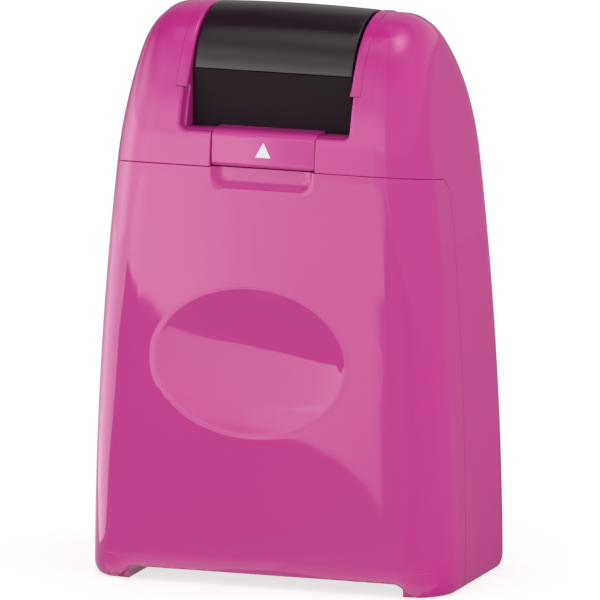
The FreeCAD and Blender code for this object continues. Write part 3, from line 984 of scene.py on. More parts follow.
    def crest_line(self, gap: float) -> tuple[Array, Array]:
        """Line on the side on which front and back of the housing meet, from the joint line up.

        Args:
            gap: Distance from the middle of the joint line.

        Returns:
            y and z of its points. y nears crest_y with the square of the height left.
        """
        line_y, line_z = self.seam_line(gap)
        z = np.linspace(line_z[-1], self.form.height, CREST_TABLE)
        rest = 1.0 - (z - z[0]) / (z[-1] - z[0])
        return self.form.crest_y + (line_y[-1] - self.form.crest_y) * rest ** 2, z

    def seam_distance(self, y: Array, z: Array) -> Array:
        """Distance from the joint line, positive inside the cover.

        Args:
            y: y of each point.
            z: Its height.

        Returns:
            The distance: to the arc beside the bend, and to the nearer straight line elsewhere.
        """
        centre_y, centre_z, end = self.seam_centre()
        lean = self.seam_foot_y + (self.seam_top_y - self.seam_foot_y) * z / centre_z - y
        flat = self.seam_z - self.seam_slope() * (y + self.form.depth / 2.0) - z
        bent = self.seam_corner - np.hypot(y - centre_y, z - centre_z)
        turn = np.arctan2(z - centre_z, y - centre_y)
        return np.where((turn > 0.0) & (turn < end), bent, np.minimum(lean, flat))

    def dish_drop(self, x: Array, z: Array) -> Array:
        """Depth of a thumb dish: an egg pressed into the face, with a blended rim.

        With (u, v) the place as a share of the rim's half width and half height, the egg's surface
        is bulge * sqrt(1 - k (u^2 + v^2)) - (bulge - depth) under the face, where k makes it 0 at
        the rim.

        Args:
            x: Place across the face.
            z: Height.

        Returns:
            Depth at each point.
        """
        stand_off = self.dish_bulge - self.dish_depth
        across, up = x / self.dish_half_width, (z - self.dish_z) / self.dish_half_height
        out = (1.0 - (stand_off / self.dish_bulge) ** 2) * (across ** 2 + up ** 2)
        egg = self.dish_bulge * np.sqrt(np.clip(1.0 - out, 0.0, 1.0)) - stand_off
        return soft_max(egg, self.dish_blend) * smooth_rise(0.0, self.dish_fade, 1.0 - out)

    def scoop_drop(self, x: Array, z: Array) -> Array:
        """Depth of the nail scoop: depth * sin^2 of the way in from its rounded outline."""
        inside = -box_gap(x, z, self.scoop_half, self.scoop_low, self.seam_z + self.beyond, self.scoop_bend)
        return self.scoop_depth * np.sin(QUARTER * np.clip(inside / self.scoop_slope, 0.0, 1.0)) ** 2

    def foot_line_drop(self, points: Array, way: Array) -> Array:
        """Depth of the fine step along the front over the foot, which ends round the corners.

        Args:
            points: Points of half the sheet.
            way: -1 in front and 1 behind.

        Returns:
            Depth at each point.
        """
        low, high = self.foot_line_z - self.foot_line_half, self.foot_line_z + self.foot_line_half
        ahead = smooth_rise(*self.foot_line_ends, -points[..., 1]) * (way < 0.0)
        return self.foot_line_depth * (1.0 - smooth_rise(low, high, points[..., 2])) * ahead

    def edge_drop(self, points: Array, way: Array, gap: float) -> Array:
        """Depth of all rounded edges of a case sheet.

        Args:
            points: Points of half the sheet, as if on the right.
            way: -1 in front and 1 behind.
            gap: Half the gap of the joint line: positive for the housing, negative for the cover.

        Returns:
            Depth at each point.
        """
        x, y, z = points[..., 0], points[..., 1], points[..., 2]
        foot = np.maximum(z - self.arch_edge(x), 0.0)
        sky = self.form.height + self.beyond
        window = box_gap(x, z, self.window_half, self.sill_z, sky, self.window_bend)
        upper = box_gap(x, z, self.upper_half, self.shoulder_z, sky, 0.0)
        slot = box_gap(x, z, self.slot_half, self.seam_z - self.beyond, self.sill_z, 0.0)
        seam = np.abs(self.seam_distance(y, z)) - abs(gap)
        if gap > 0.0:
            seam = np.where((way > 0.0) & (y > 0.0), np.inf, seam)
            slot = np.where(way < 0.0, slot, np.inf)
        else:
            window, upper, slot = (np.full_like(x, np.inf) for _ in range(3))
        fine = round_over(np.minimum(np.maximum(seam, 0.0), slot), self.edge_round, self.edge_round)
        fine = np.maximum(fine, round_over(upper, self.joint_round, self.joint_round))
        drop = np.maximum(fine, round_over(window, self.window_round, self.window_round))
        return np.maximum(drop, round_over(foot, self.foot_drop, self.foot_reach))

    def half_sheet(self, sheet: Sheet) -> Array:
        """Points of half a case sheet.

        On level rows, the place along the profile is the one that gives the row's height in each
        column. Above them it runs evenly to the crest. On the side, rows run level from the corner
        to the meeting line.

        Args:
            sheet: The half sheet.

        Returns:
            Points, by row and column.
        """
        rows, columns, inset = sheet.rows, sheet.columns, sheet.inset
        flat = len(columns.fixed) + len(columns.spread)
        share = np.concatenate([np.zeros(flat), columns.turned, np.ones(len(columns.aside))])
        climb = np.empty((len(rows.way), len(share)))
        table = np.linspace(self.lowest_climb, TOP_CLIMB, CLIMB_TABLE)
        radius, face = self.form.corner_radius, self.form.depth / 2.0
        for way in (-1.0, 1.0):
            here = rows.way == way
            ways = np.full_like(table, way)
            ball_z = self.form.profile(table, ways, self.form.corner_radius)[1]
            side_z = self.form.corner(table, ways, np.ones_like(table), inset)[0][:, 2]
            shoulder = np.interp(self.shoulder_z, side_z, table)
            low = np.interp(shoulder, table, ball_z)
            on_side = np.interp(low + rows.rise[here] * (ball_z[-1] - low), ball_z, table)
            part = (on_side - shoulder) / (TOP_CLIMB - shoulder)
            for value in np.unique(share):
                heights = self.form.corner(table, ways, np.full_like(table, value), inset)[0][:, 2]
                turned_y = -(face - radius) - radius * math.cos(value * QUARTER)
                fall = self.fallen(rows.level[here], np.array(turned_y)) if way < 0.0 else 0.0
                level = np.interp(rows.level[here] - fall, heights, table)
                start = np.interp(self.shoulder_z, heights, table)
                risen = start + part * (TOP_CLIMB - start)
                climb[np.ix_(here, share == value)] = np.where(rows.rise[here] > 0.0, risen, level)[:, None]
        way = np.repeat(rows.way[:, None], len(share), axis=1)
        points, normals, ball_x = self.form.corner(climb, way, share[None, :], inset)
        self.set_band(points, sheet, ball_x)
        self.set_side(points, normals, sheet)
        drop = self.scoop_drop(points[..., 0], points[..., 2]) * (way < 0.0)
        across = points[..., 0] * sheet.side.value - way * self.dish_shift
        drop = drop + self.dish_drop(across, points[..., 2]) * (np.abs(points[..., 1]) > self.dish_wall_y)
        if inset == 0.0:
            drop = np.maximum(drop, self.edge_drop(points, way, sheet.gap))
            drop = drop + self.foot_line_drop(points, way)
        return points - normals * drop[..., None]

    def set_band(self, points: Array, sheet: Sheet, ball_x: Array) -> None:
        """Sets the places of the band's columns, which follow the window's corners and the arch.

        Args:
            points: Its points, changed in place.
            sheet: The half sheet.
            ball_x: x at which the corner starts, by row and column.
        """
        rows, columns = sheet.rows, sheet.columns
        fixed, flat = len(columns.fixed), len(columns.fixed) + len(columns.spread)
        last = columns.fixed[-1]
        x = np.repeat(columns.fixed[None, :], len(rows.way), axis=0)
        x = np.concatenate([x, last + columns.spread * (ball_x[:, fixed:flat] - last)], axis=1)
        z = points[:, :flat, 2]
        bend = self.window_bend
        low = self.sill_z + bend
        above = bend - np.sqrt(bend ** 2 - np.clip(low - z, 0.0, bend) ** 2)
        below = bend * np.clip(1.0 - (self.sill_z - z) / self.bend_above, 0.0, 1.0) ** 2
        shift = np.where(z >= self.sill_z - LEVEL_SLACK, above, below) * (z < low)
        x = x - shift * np.clip(1.0 - np.abs(x - self.window_half) / self.bend_aside, 0.0, 1.0)
        points[:, :flat, 0] = x
        corner = points[:, :flat + len(columns.turned)]
        near = np.clip(1.0 - corner[..., 2] / self.arch_fade, 0.0, 1.0)
        corner[..., 2] += self.arch_edge(corner[..., 0]) * near

    def set_side(self, points: Array, normals: Array, sheet: Sheet) -> None:
        """Sets the places of the side's columns, straight from the corner to the meeting line.

        Args:
            points: Its points, changed in place.
            normals: Their normals, changed in place.
            sheet: The half sheet.
        """
        rows, gap, aside = sheet.rows, sheet.gap, sheet.columns.aside[None, :]
        count = aside.size
        start_y, start_z = points[:, -count:, 1], points[:, -count:, 2]
        seam_y, seam_z = self.seam_line(gap)
        crest_y, crest_z = self.crest_line(gap)
        risen, front = rows.rise > 0.0, rows.way < 0.0
        meet_z = np.where(risen, start_z[:, 0], rows.level)
        if gap < 0.0:
            level = self.level_of(seam_y, seam_z)
            meet_y = np.interp(rows.level, level, seam_y)
            meet_z = np.interp(rows.level, level, seam_z)
        else:
            level = self.level_of(crest_y, crest_z)
            meet_z = np.where(front & ~risen, np.interp(rows.level, level, crest_z), meet_z)
            over = meet_z >= crest_z[0] - TINY
            meet_y = np.where(over, np.interp(meet_z, crest_z, crest_y), np.interp(meet_z, seam_z, seam_y))
        points[:, -count:, 1] = start_y + aside * (meet_y[:, None] - start_y)
        z = start_z + aside * (meet_z[:, None] - start_z)
        points[:, -count:, 2] = z
        x, normal_x, normal_z = self.form.side(z, sheet.inset)
        points[:, -count:, 0] = x
        normals[:, -count:] = np.stack([normal_x, np.zeros_like(z), normal_z], axis=-1)

    def sheet_shell(self, rows: Rows, gap: float,
                    is_open: Callable[[Array, Array, Array], Array] | None = None) -> Skin:
        """Closed wall of a case sheet, mirrored to both halves, with its openings left out.

        Args:
            rows: The sheet's rows.
            gap: Half the gap of the joint line.
            is_open: True where a cell is left out, from its x, its level and its way.

        Returns:
            The wall.
        """
        sheets, columns = [], self.half_columns()
        for inset in (0.0, self.wall):
            right, left = (self.half_sheet(Sheet(rows, columns, inset, gap, side)) for side in Side)
            sheets.append(np.concatenate([left[:, :0:-1] * MIRROR, right], axis=1))
        height, width = sheets[0].shape[:2]
        quads = grid_quads(height, width)
        if is_open is not None:
            place = np.concatenate([columns.fixed, np.full(width // 2 + 1 - len(columns.fixed), np.inf)])
            place = np.concatenate([place[:0:-1], place])
            level = rows.level + rows.rise
            cell_x = (place[1:] + place[:-1]) / 2.0
            cell_level = (level[1:] + level[:-1]) / 2.0
            cell_way = np.where(rows.way[1:] * rows.way[:-1] < 0.0, 1.0, rows.way[1:])
            quads = quads[~is_open(cell_x[None, :], cell_level[:, None], cell_way[:, None]).reshape(-1)]
        return closed_shell(sheets[0].reshape(-1, 3), sheets[1].reshape(-1, 3), quads)

    def half_columns(self) -> Columns:
        """Columns of half a sheet, close together beside each edge that runs up the case.

        Returns:
            The columns.
        """
        fixed = steps(*self.centre_marks, *beside(self.slot_half, self.slot_marks),
                      *beside(self.window_half, self.window_marks),
                      *beside(self.upper_half, self.upper_marks))
        spread, aside = steps(*self.spread_marks)[1:], 1.0 - steps(*self.aside_marks)[::-1][1:]
        turned = np.linspace(0.0, 1.0, self.corner_columns + 1)[1:]
        return Columns(fixed, spread, turned, aside)

    def housing(self) -> Skin:
        """Rear housing: back, both sides and the dome, with its window, slot and sills.

        Returns:
            The housing.
        """
        top = self.seam_z + self.seam_gap
        _, bend_z, bend_end = self.seam_centre()
        corner = self.sill_z + self.window_bend * (1.0 - np.cos(np.linspace(0.0, QUARTER, 7)[1:]))
        upper = np.concatenate([
            steps(*beside(top, self.joint_marks), *beside(self.sill_z, self.sill_marks)),
            corner,
            steps((float(corner[-1]), 1.0), *beside(self.shoulder_z, self.shoulder_marks))[1:]])
        turn = np.linspace(0.0, bend_end, 13)[1:-1]
        bend = bend_z + (self.seam_corner + self.seam_gap) * np.sin(turn)
        lower = np.concatenate([self.foot_levels(bend_z, self.back_dish_step), bend])
        crest_y, crest_z = self.crest_line(self.seam_gap)
        behind = np.interp(upper, self.level_of(crest_y, crest_z), crest_z)
        rise = np.linspace(0.0, 1.0, 21)[1:]
        front, back = len(upper), len(upper) + len(lower)
        over = np.concatenate([rise, rise[-2::-1]])
        way = np.concatenate([-np.ones(front + len(rise)), np.ones(len(rise) - 1 + back)])
        level = np.concatenate([upper, np.full(len(over), self.shoulder_z), behind[::-1], lower[::-1]])
        climbs = np.concatenate([np.zeros(front), over, np.zeros(back)])

        def is_open(x: Array, row_level: Array, row_way: Array) -> Array:
            """Whether a cell lies in the slot, the window or the gap between the cheeks.

            Args:
                x: x of the cell.
                row_level: Its level.
                row_way: -1 in front and 1 behind.

            Returns:
                True where it is left out.
            """
            slot = (np.abs(x) < self.slot_half) & (row_level < self.sill_z) & (row_way < 0.0)
            window = (np.abs(x) < self.window_half) & (row_level > self.sill_z)
            return slot | window | ((np.abs(x) < self.upper_half) & (row_level > self.shoulder_z))

        shell = self.sheet_shell(Rows(way, level, climbs), self.seam_gap, is_open)
        return joined([shell] + self.sills())

    def cover(self) -> Skin:
        """Front cover: the front below the joint line, with the thumb dish and the nail scoop.

        Returns:
            The cover.
        """
        top = self.seam_z - self.seam_gap
        centre_y, centre_z, end = self.seam_centre()
        turn = np.linspace(0.0, end, 17)
        reach = self.seam_corner - self.seam_gap
        bend = self.level_of(centre_y + reach * np.cos(turn), centre_z + reach * np.sin(turn))
        bend = bend[bend < top - self.cover_dish_step]
        level = np.concatenate([self.foot_levels(float(bend[0]), self.cover_dish_step), bend[1:],
                                steps(*beside(top, self.cover_marks))])
        rows = Rows(np.full(len(level), -1.0), level, np.zeros(len(level)))
        return self.sheet_shell(rows, -self.seam_gap)

    def foot_levels(self, top: float, dish_step: float) -> Array:
        """Heights of level rows from the foot up, closer at the foot, its fine line and the dish.

        Args:
            top: Height of the last row.
            dish_step: Longest step across the dish.

        Returns:
            The heights.
        """
        dish_low, dish_high = self.dish_z - self.dish_half_height, self.dish_z + self.dish_half_height
        line_low, line_high = self.foot_line_z - self.foot_line_half, self.foot_line_z + self.foot_line_half
        return steps(*self.foot_marks, (self.foot_reach + 0.2, 0.28), (line_low - 0.1, 0.8),
                     (line_high + 0.1, 0.05), (dish_low - 1.0, 1.0), (dish_high + 1.0, dish_step),
                     (self.scoop_low - 3.0, 1.0), (top, 0.5))

    def sills(self) -> list[Skin]:
        """Sills of the window: slabs from inside the wall to just short of the cartridge.

        Returns:
            The sills.
        """
        high = self.sill_z - self.sill_sunk
        low = high - self.sill_thickness
        front = float(self.form.front_y(np.array(high))) + self.sill_lap
        rear = self.form.depth / 2.0 - self.sill_back
        end = self.sill_end_round
        skins = []
        for first, last, left, right in (
                (front, self.panel_y, -self.guide_half_gap, -self.slot_half),
                (front, self.panel_y, self.slot_half, self.guide_half_gap),
                (self.rear_sill_y, rear, -self.guide_half_gap, self.guide_half_gap)):
            corners = [(first, low), (last, low), (last, high), (first, high)]
            skins.append(slab(rounded_outline(corners, [self.sill_round] * 4, 3), left, right, end, end, 3))
        return skins

    def cheek(self) -> Skin:
        """Right guide cheek: a plate whose crown follows the dome, with a softly rounded inner edge.

        Returns:
            The cheek.
        """
        climb = np.linspace(0.0, TOP_CLIMB, CHEEK_TABLE)
        step_z = self.shoulder_z + self.step_from
        arms = []
        for way in (-1.0, 1.0):
            ways = np.full_like(climb, way)
            outer = np.stack(self.form.profile(climb, ways, 0.0)[:2], axis=1)
            inner = np.stack(self.form.profile(climb, ways, self.wall + self.skirt_gap)[:2], axis=1)
            crown = outer[outer[:, 1] > self.shoulder_z + self.crown_from]
            foot = np.array([[np.interp(step_z, outer[:, 1], outer[:, 0]), step_z]])
            skirt = inner[(inner[:, 1] > self.cradle_bottom_z) & (inner[:, 1] < self.shoulder_z)]
            arms.append(np.concatenate([skirt, foot + np.array([[-way * self.wall, 0.0]]), foot, crown]))
        outline = np.concatenate([arms[0], arms[1][-2::-1]])
        share = smooth_rise(self.shoulder_z, self.shoulder_z + self.crown_fade, outline[:, 1])
        inner_round = self.skirt_round + (self.crown_round - self.skirt_round) * share
        return slab(outline, self.guide_half_gap, self.upper_half - self.cheek_gap, inner_round,
                    self.joint_round, 6)


# The cartridge


@dataclass
class Cartridge:
    """The cartridge: black tub with its flat front panel, two axles, pull tab and its arrow."""

    form: CaseForm = field(default_factory=CaseForm)
    axis: Pair = ROLLER_AXIS
    half_width: float = 13.5
    ink_pin_half: float = 12.6
    pin_radius: float = 1.5
    ink_pin_radius: float = 1.0
    pin_round: float = 0.25
    panel_outer: float = 11.37
    panel_inner: float = 10.37
    lean: float = 13.6
    panel_gap: float = 0.06
    panel_round: float = 0.08
    rear_inner: float = 12.05
    rear_outer: float = 13.05
    rear_lip: float = 30.0
    floor_top: float = -19.2954
    floor_thickness: float = 1.2
    edge: float = 0.25
    foot_round: float = 1.5
    inner_round: float = 0.5
    tab_half: float = 8.95
    tab_low: float = 69.08
    tab_high: float = 75.0
    ledge_thickness: float = 1.5
    tab_back: float = 2.7
    tab_round: float = 0.35
    tab_low_round: float = 0.7
    tab_top_round: float = 1.1
    ledge_round: float = 0.12
    tab_back_round: float = 0.2
    ledge_end_round: float = 0.1
    tab_fade: Pair = (0.8, 4.2)
    round_fade: Pair = (1.7, 3.3)
    tab_lean: float = 0.065
    arrow_half: float = 1.35
    arrow_low: float = 70.85
    arrow_rise: float = 2.5
    arrow_proud: float = 0.02
    arrow_rings: Series = (0.0, 0.35, 0.7, 0.97, 1.0, 1.0, 0.0)
    arrow_edge: float = 0.012
    arrow_round: float = 0.12
    arrow_depth: float = 0.5

    def build(self) -> None:
        """Builds and dresses the cartridge's pieces."""
        make_piece("tub_frame", self.tub(), MATT_BLACK, Body.CARTRIDGE, "cartridge_tub")
        make_piece("tab_button", self.tab(), PINK, Body.CARTRIDGE, "pull_tab")
        make_piece("tab_arrow", self.arrow(), WHITE, Body.CARTRIDGE, "arrow_mark")
        pin = self.pin(self.axis, self.pin_radius, self.half_width)
        make_piece("roller_pin", pin, STEEL, Body.CARTRIDGE, "roller_axle")
        pin = self.pin(INK_AXIS, self.ink_pin_radius, self.ink_pin_half)
        make_piece("ink_pin", pin, STEEL, Body.CARTRIDGE, "ink_axle")

    def tub(self) -> Skin:
        """Tub: front panel, floor and rear panel with its curved lip, as one outline along X.

        Returns:
            The tub.
        """
        slope = math.tan(math.radians(self.lean))
        floor = self.floor_top - self.floor_thickness
        lip_out = arc_points(self.rear_outer, HALF_TURN, HALF_TURN - self.rear_lip, 3.0)
        lip_in = arc_points(self.rear_inner, HALF_TURN - self.rear_lip, HALF_TURN, 3.0)
        corners = [(-self.panel_outer, floor), (self.rear_outer, floor)]
        corners += [tuple(point) for point in np.concatenate([lip_out, lip_in])]
        corners += [(self.rear_inner, self.floor_top), (-self.panel_inner, self.floor_top),
                    (-self.panel_inner, self.panel_inner * slope - self.panel_gap),
                    (-self.panel_outer, self.panel_outer * slope - self.panel_gap)]
        radii = [self.foot_round] * 2 + [0.0] * (len(lip_out) - 1) + [self.edge] * 2
        radii += [0.0] * (len(lip_in) - 1) + [self.inner_round] * 2 + [self.panel_round] * 2
        outline = rounded_outline(corners, radii) + np.array(self.axis)
        return slab(outline, -self.half_width, self.half_width, self.edge, self.edge)

    def face_y(self, z: Array) -> Array:
        """y of the tab's face, which leans in towards the scoop under it."""
        return self.form.front_y(z) + self.tab_lean * (self.tab_high - z)

    def tab(self) -> Skin:
        """Pull tab: a plate that follows the dome's front, with a ledge back to the panel.

        Returns:
            The tab.
        """
        front, back = -self.form.depth / 2.0, self.axis[0] - self.panel_outer
        inner, ledge = front + self.tab_back, self.tab_high - self.ledge_thickness
        corners = [(front, self.tab_low), (inner, self.tab_low), (inner, ledge), (back, ledge),
                   (back, self.tab_high), (front, self.tab_high)]
        radii = [self.tab_low_round] + [self.tab_back_round] * 2 + [self.ledge_end_round] * 2
        radii.append(self.tab_top_round)
        outline = cut_finer(rounded_outline(corners, radii, 8), 0.4)
        forward = 1.0 - smooth_rise(*self.tab_fade, outline[:, 0] - front)
        set_back = self.face_y(outline[:, 1]) - front
        outline = outline + np.stack([set_back * forward, np.zeros(len(outline))], axis=1)
        share = 1.0 - smooth_rise(*self.round_fade, outline[:, 0] - front)
        ends = self.ledge_round + (self.tab_round - self.ledge_round) * share
        return slab(outline, -self.tab_half, self.tab_half, ends, ends, 7)

    def arrow(self) -> Skin:
        """Arrow: a plain triangle that follows the tab's face.

        Its rings are the outline drawn towards its middle: middle + share * (outline - middle), on
        the face in front and arrow_depth behind it.

        Returns:
            The arrow.
        """
        corners = [(-self.arrow_half, self.arrow_low), (self.arrow_half, self.arrow_low),
                   (0.0, self.arrow_low + self.arrow_rise)]
        outline = cut_finer(rounded_outline(corners, [self.arrow_round] * 3, 5), 0.3)
        middle = np.array([0.0, self.arrow_low + self.arrow_rise / 3.0])
        shares = np.array(self.arrow_rings)
        depths = np.array([0.0] * (len(shares) - 3) + [self.arrow_edge, self.arrow_depth, self.arrow_depth])
        flat = middle + shares[:, None, None] * (outline - middle)[None]
        y = self.face_y(flat[..., 1]) - self.arrow_proud + depths[:, None]
        points = np.stack([flat[..., 0], y, flat[..., 1]], axis=-1).reshape(-1, 3)
        first, faces = weld(points, grid_quads(len(shares), len(outline), round_columns=True))
        return Skin(points[first], faces).turned_out()

    def pin(self, axis: Pair, radius: float, half: float) -> Skin:
        """Axle: a rod with rounded ends.

        Args:
            axis: The axle as (y, z).
            radius: Its radius.
            half: Half its length.

        Returns:
            The rod.
        """
        corners = [(-half, 0.0), (-half, radius), (half, radius), (half, 0.0)]
        radii = [0.0, self.pin_round, self.pin_round, 0.0]
        return revolved(rounded_outline(corners, radii, 4), axis, 64)


# The shutter


@dataclass
class Shutter:
    """The black shutter: an arc of a drum between two ears that turn on the axle."""

    axis: Pair = ROLLER_AXIS
    radius: float = 11.7
    crown: float = 0.3
    wall: float = 1.0
    front: float = 13.6
    rear: float = 156.0
    half_width: float = 13.46
    ear: float = 0.75
    hub: float = 3.2
    bore: float = 1.55
    edge: float = 0.2
    lip: float = 0.1
    ear_edge: float = 0.08
    ear_lap: float = 0.3
    ear_short: float = 0.4
    ear_sunk: float = 0.02

    def build(self) -> None:
        """Builds and dresses the shutter."""
        make_piece("shutter_drum", joined(self.parts()), BLACK, Body.SHUTTER, "shutter_cover")

    def parts(self) -> list[Skin]:
        """The drum's wall, and an ear and a hub at each end.

        Returns:
            The parts.
        """
        inner = self.radius - self.wall
        outline = np.concatenate([arc_points(self.radius, self.front, self.rear, 2.5),
                                  arc_points(inner, self.rear, self.front, 2.5)])
        count = len(outline) // 2
        radii = [self.lip] + [0.0] * (count - 2) + [self.edge] * 2 + [0.0] * (count - 2) + [self.lip]
        drum = rounded_outline([tuple(point) for point in outline], radii, 5) + np.array(self.axis)
        half = self.half_width
        skins = [self.crowned(slab(drum, -half, half, self.edge, self.edge, between=20))]
        first, last = self.front + self.ear_short, self.rear - self.ear_short
        outer = arc_points(inner + self.ear_lap, first, last, 3.0)
        ear = np.concatenate([outer, arc_points((self.hub + self.bore) / 2.0, self.rear, self.front, 6.0)])
        end, start = half - self.ear_sunk, half - self.ear
        hub = start - self.ear_sunk / 2.0
        ring = [(hub, self.bore), (hub, self.hub), (half, self.hub), (half, self.bore)]
        for skin in (slab(ear + np.array(self.axis), start, end, self.ear_edge, self.ear_edge, 3),
                     revolved(rounded_outline(ring, [self.ear_edge] * 4, 3), self.axis, 64)):
            skins += [skin, skin.mirrored()]
        return skins

    def crowned(self, skin: Skin) -> Skin:
        """The drum with its middle pushed out: crown * (1 - (x / half width)^2), away from the axis.

        Args:
            skin: The drum.

        Returns:
            The drum with its crown.
        """
        out = skin.points[:, 1:] - np.array(self.axis)
        out = out / np.linalg.norm(out, axis=1)[:, None]
        x = skin.points[:, :1]
        rise = self.crown * (1.0 - (x / self.half_width) ** 2)
        return Skin(np.concatenate([x, skin.points[:, 1:] + out * rise], axis=1), skin.faces)


# The rollers


@dataclass
class Roller:
    """A roller: a turned hub with two flanges under a sleeve."""

    axis: Pair = ROLLER_AXIS
    half: float = 11.6
    sleeve_half: float = 10.9
    bore: float = 1.55
    core: float = 6.5
    flange: float = 8.6
    radius: float = 10.0
    sunk: float = 0.02

    def turned_hub(self, end: list[Pair], radii: list[float], turns: int) -> Skin:
        """Core and flanges as one turned profile, the same at both ends.

        Args:
            end: Corners of the right end as (x, radius), from the bore to the flange.
            radii: Rounding of those corners, of the flange's inner corner and of the core.
            turns: Points round the axis.

        Returns:
            The hub.
        """
        corners = end + [(self.sleeve_half, self.flange), (self.sleeve_half, self.core - self.sunk)]
        corners = corners + [(-x, r) for x, r in corners[::-1]]
        return revolved(rounded_outline(corners, radii + radii[::-1], 3), self.axis, turns)


@dataclass
class PrintRoller(Roller):
    """The print roller: its flanges have a shallow ring, and its rubber has raised scrambled strokes."""

    ring: Pair = (3.4, 7.6)
    ring_depth: float = 0.2
    relief: float = 0.5
    stroke: float = 0.62
    strokes: int = 620
    longest: int = 5
    seam_every: int = 6
    soft: Pair = (0.25, 0.75)
    turns: int = 360
    lengthwise: int = 120
    seed: int = 11

    def build(self) -> None:
        """Builds and dresses the print roller."""
        (low, high), floor = self.ring, self.half - self.ring_depth
        end = [(self.half, self.bore), (self.half, low), (floor, low + self.ring_depth),
               (floor, high - self.ring_depth), (self.half, high), (self.half, self.flange)]
        hub = self.turned_hub(end, [0.15, 0.05, 0.05, 0.05, 0.05, 0.15, 0.1, 0.0], 96)
        make_piece("print_hub", hub, ACETAL, Body.PRINT_ROLLER,
                   "print_core", "left_print_flange", "right_print_flange")
        make_piece("print_sleeve", self.sleeve(), RUBBER, Body.PRINT_ROLLER, "print_rubber")

    def marks(self) -> Array:
        """Pattern of raised strokes: seeded short bars on a lattice of one stroke width.

        Bars run along the roller or round it. Each cell of the lattice is on where a bar covers it.

        Returns:
            1 where the pattern stands proud, by place along the roller and round it.
        """
        draws = np.random.default_rng(self.seed)
        long_cells = int(2.0 * self.sleeve_half / self.stroke)
        round_cells = int(2.0 * math.pi * self.radius / self.stroke)
        cells = np.zeros((long_cells, round_cells))
        count = self.strokes
        rows, columns = draws.integers(0, long_cells, count), draws.integers(0, round_cells, count)
        lengths, turned = draws.integers(2, self.longest + 1, count), draws.random(count) < 0.5
        for shift in range(self.longest):
            live = lengths > shift
            row = np.clip(rows + np.where(turned, shift, 0), 0, long_cells - 1)[live]
            column = ((columns + np.where(turned, 0, shift)) % round_cells)[live]
            cells[row, column] = 1.0
        cells[:, ::self.seam_every] = 0.0
        return cells

    def sleeve(self) -> Skin:
        """Rubber sleeve: turned form whose radius drops by the relief where no stroke stands.

        Returns:
            The sleeve.
        """
        cells = self.marks()
        long_cells, round_cells = cells.shape
        x = np.linspace(-self.sleeve_half, self.sleeve_half, self.lengthwise + 1)
        outer = np.stack([x, np.full_like(x, self.radius - self.relief)], axis=1)
        profile = np.concatenate([outer, [[self.sleeve_half, self.core], [-self.sleeve_half, self.core]]])

        place, angle = np.arange(len(profile))[:, None], turn_angles(self.turns)[None, :]
        along = (np.minimum(place, self.lengthwise) / self.lengthwise) * long_cells - 0.5
        around = angle / (2.0 * math.pi) * round_cells - 0.5
        row, column = np.floor(along).astype(int), np.floor(around).astype(int)
        down, right = smooth_rise(*self.soft, along - row), smooth_rise(*self.soft, around - column)
        rows = [np.clip(row + step, 0, long_cells - 1) for step in (0, 1)]
        columns = [(column + step) % round_cells for step in (0, 1)]
        near, far = (cells[item, columns[0]] * (1.0 - right) + cells[item, columns[1]] * right
                     for item in rows)
        raised = near * (1.0 - down) + far * down
        inside = (place > 0) & (place < self.lengthwise)
        return revolved(profile, self.axis, self.turns, np.where(inside, raised * self.relief, 0.0))


@dataclass
class InkRoller(Roller):
    """The ink roller: its sleeve is felt."""

    axis: Pair = INK_AXIS
    bore: float = 1.05
    core: float = 2.4
    flange: float = 4.0
    radius: float = 4.8
    soft: float = 0.5
    nap: float = 0.12
    nap_low: float = 0.5
    nap_high: float = 0.3
    turns: int = 160
    seed: int = 5

    def build(self) -> None:
        """Builds and dresses the ink roller."""
        end = [(self.half, self.bore), (self.half, self.flange)]
        hub = self.turned_hub(end, [0.1, 0.1, 0.1, 0.0], 72)
        make_piece("ink_hub", hub, ACETAL, Body.INK_ROLLER,
                   "ink_core", "left_ink_flange", "right_ink_flange")
        make_piece("ink_sleeve", self.sleeve(), FELT, Body.INK_ROLLER, "ink_felt")

    def sleeve(self) -> Skin:
        """Felt sleeve with soft ends and a seeded nap, never proud of its radius.

        Returns:
            The sleeve.
        """
        half = self.sleeve_half
        corners = [(-half, self.core), (-half, self.radius), (half, self.radius), (half, self.core)]
        profile = cut_finer(rounded_outline(corners, [0.0, self.soft, self.soft, 0.0], 5), 0.3)
        nap = np.random.default_rng(self.seed).random((len(profile), self.turns)) * self.nap
        rise = smooth_rise(self.core + self.nap_low, self.radius - self.nap_high, profile[:, 1])
        return revolved(profile, self.axis, self.turns, -nap * rise[:, None])


# Carried-over nodes and the studio


def dress_nodes(nodes: dict[str, bpy.types.Object]) -> None:
    """Gives each CAD node that stays visible the finish of its material slot.

    Args:
        nodes: The frame's nodes by name.
    """
    finishes = {"base_plate": PINK, "cradle_floor": PINK, "left_side_plate": MATT_BLACK,
                "right_side_plate": MATT_BLACK}
    for name, finish in finishes.items():
        for held in nodes[name].material_slots:
            held.material = finish.material()
        LOG.info("%s: carried over, %s", name, finish.title)


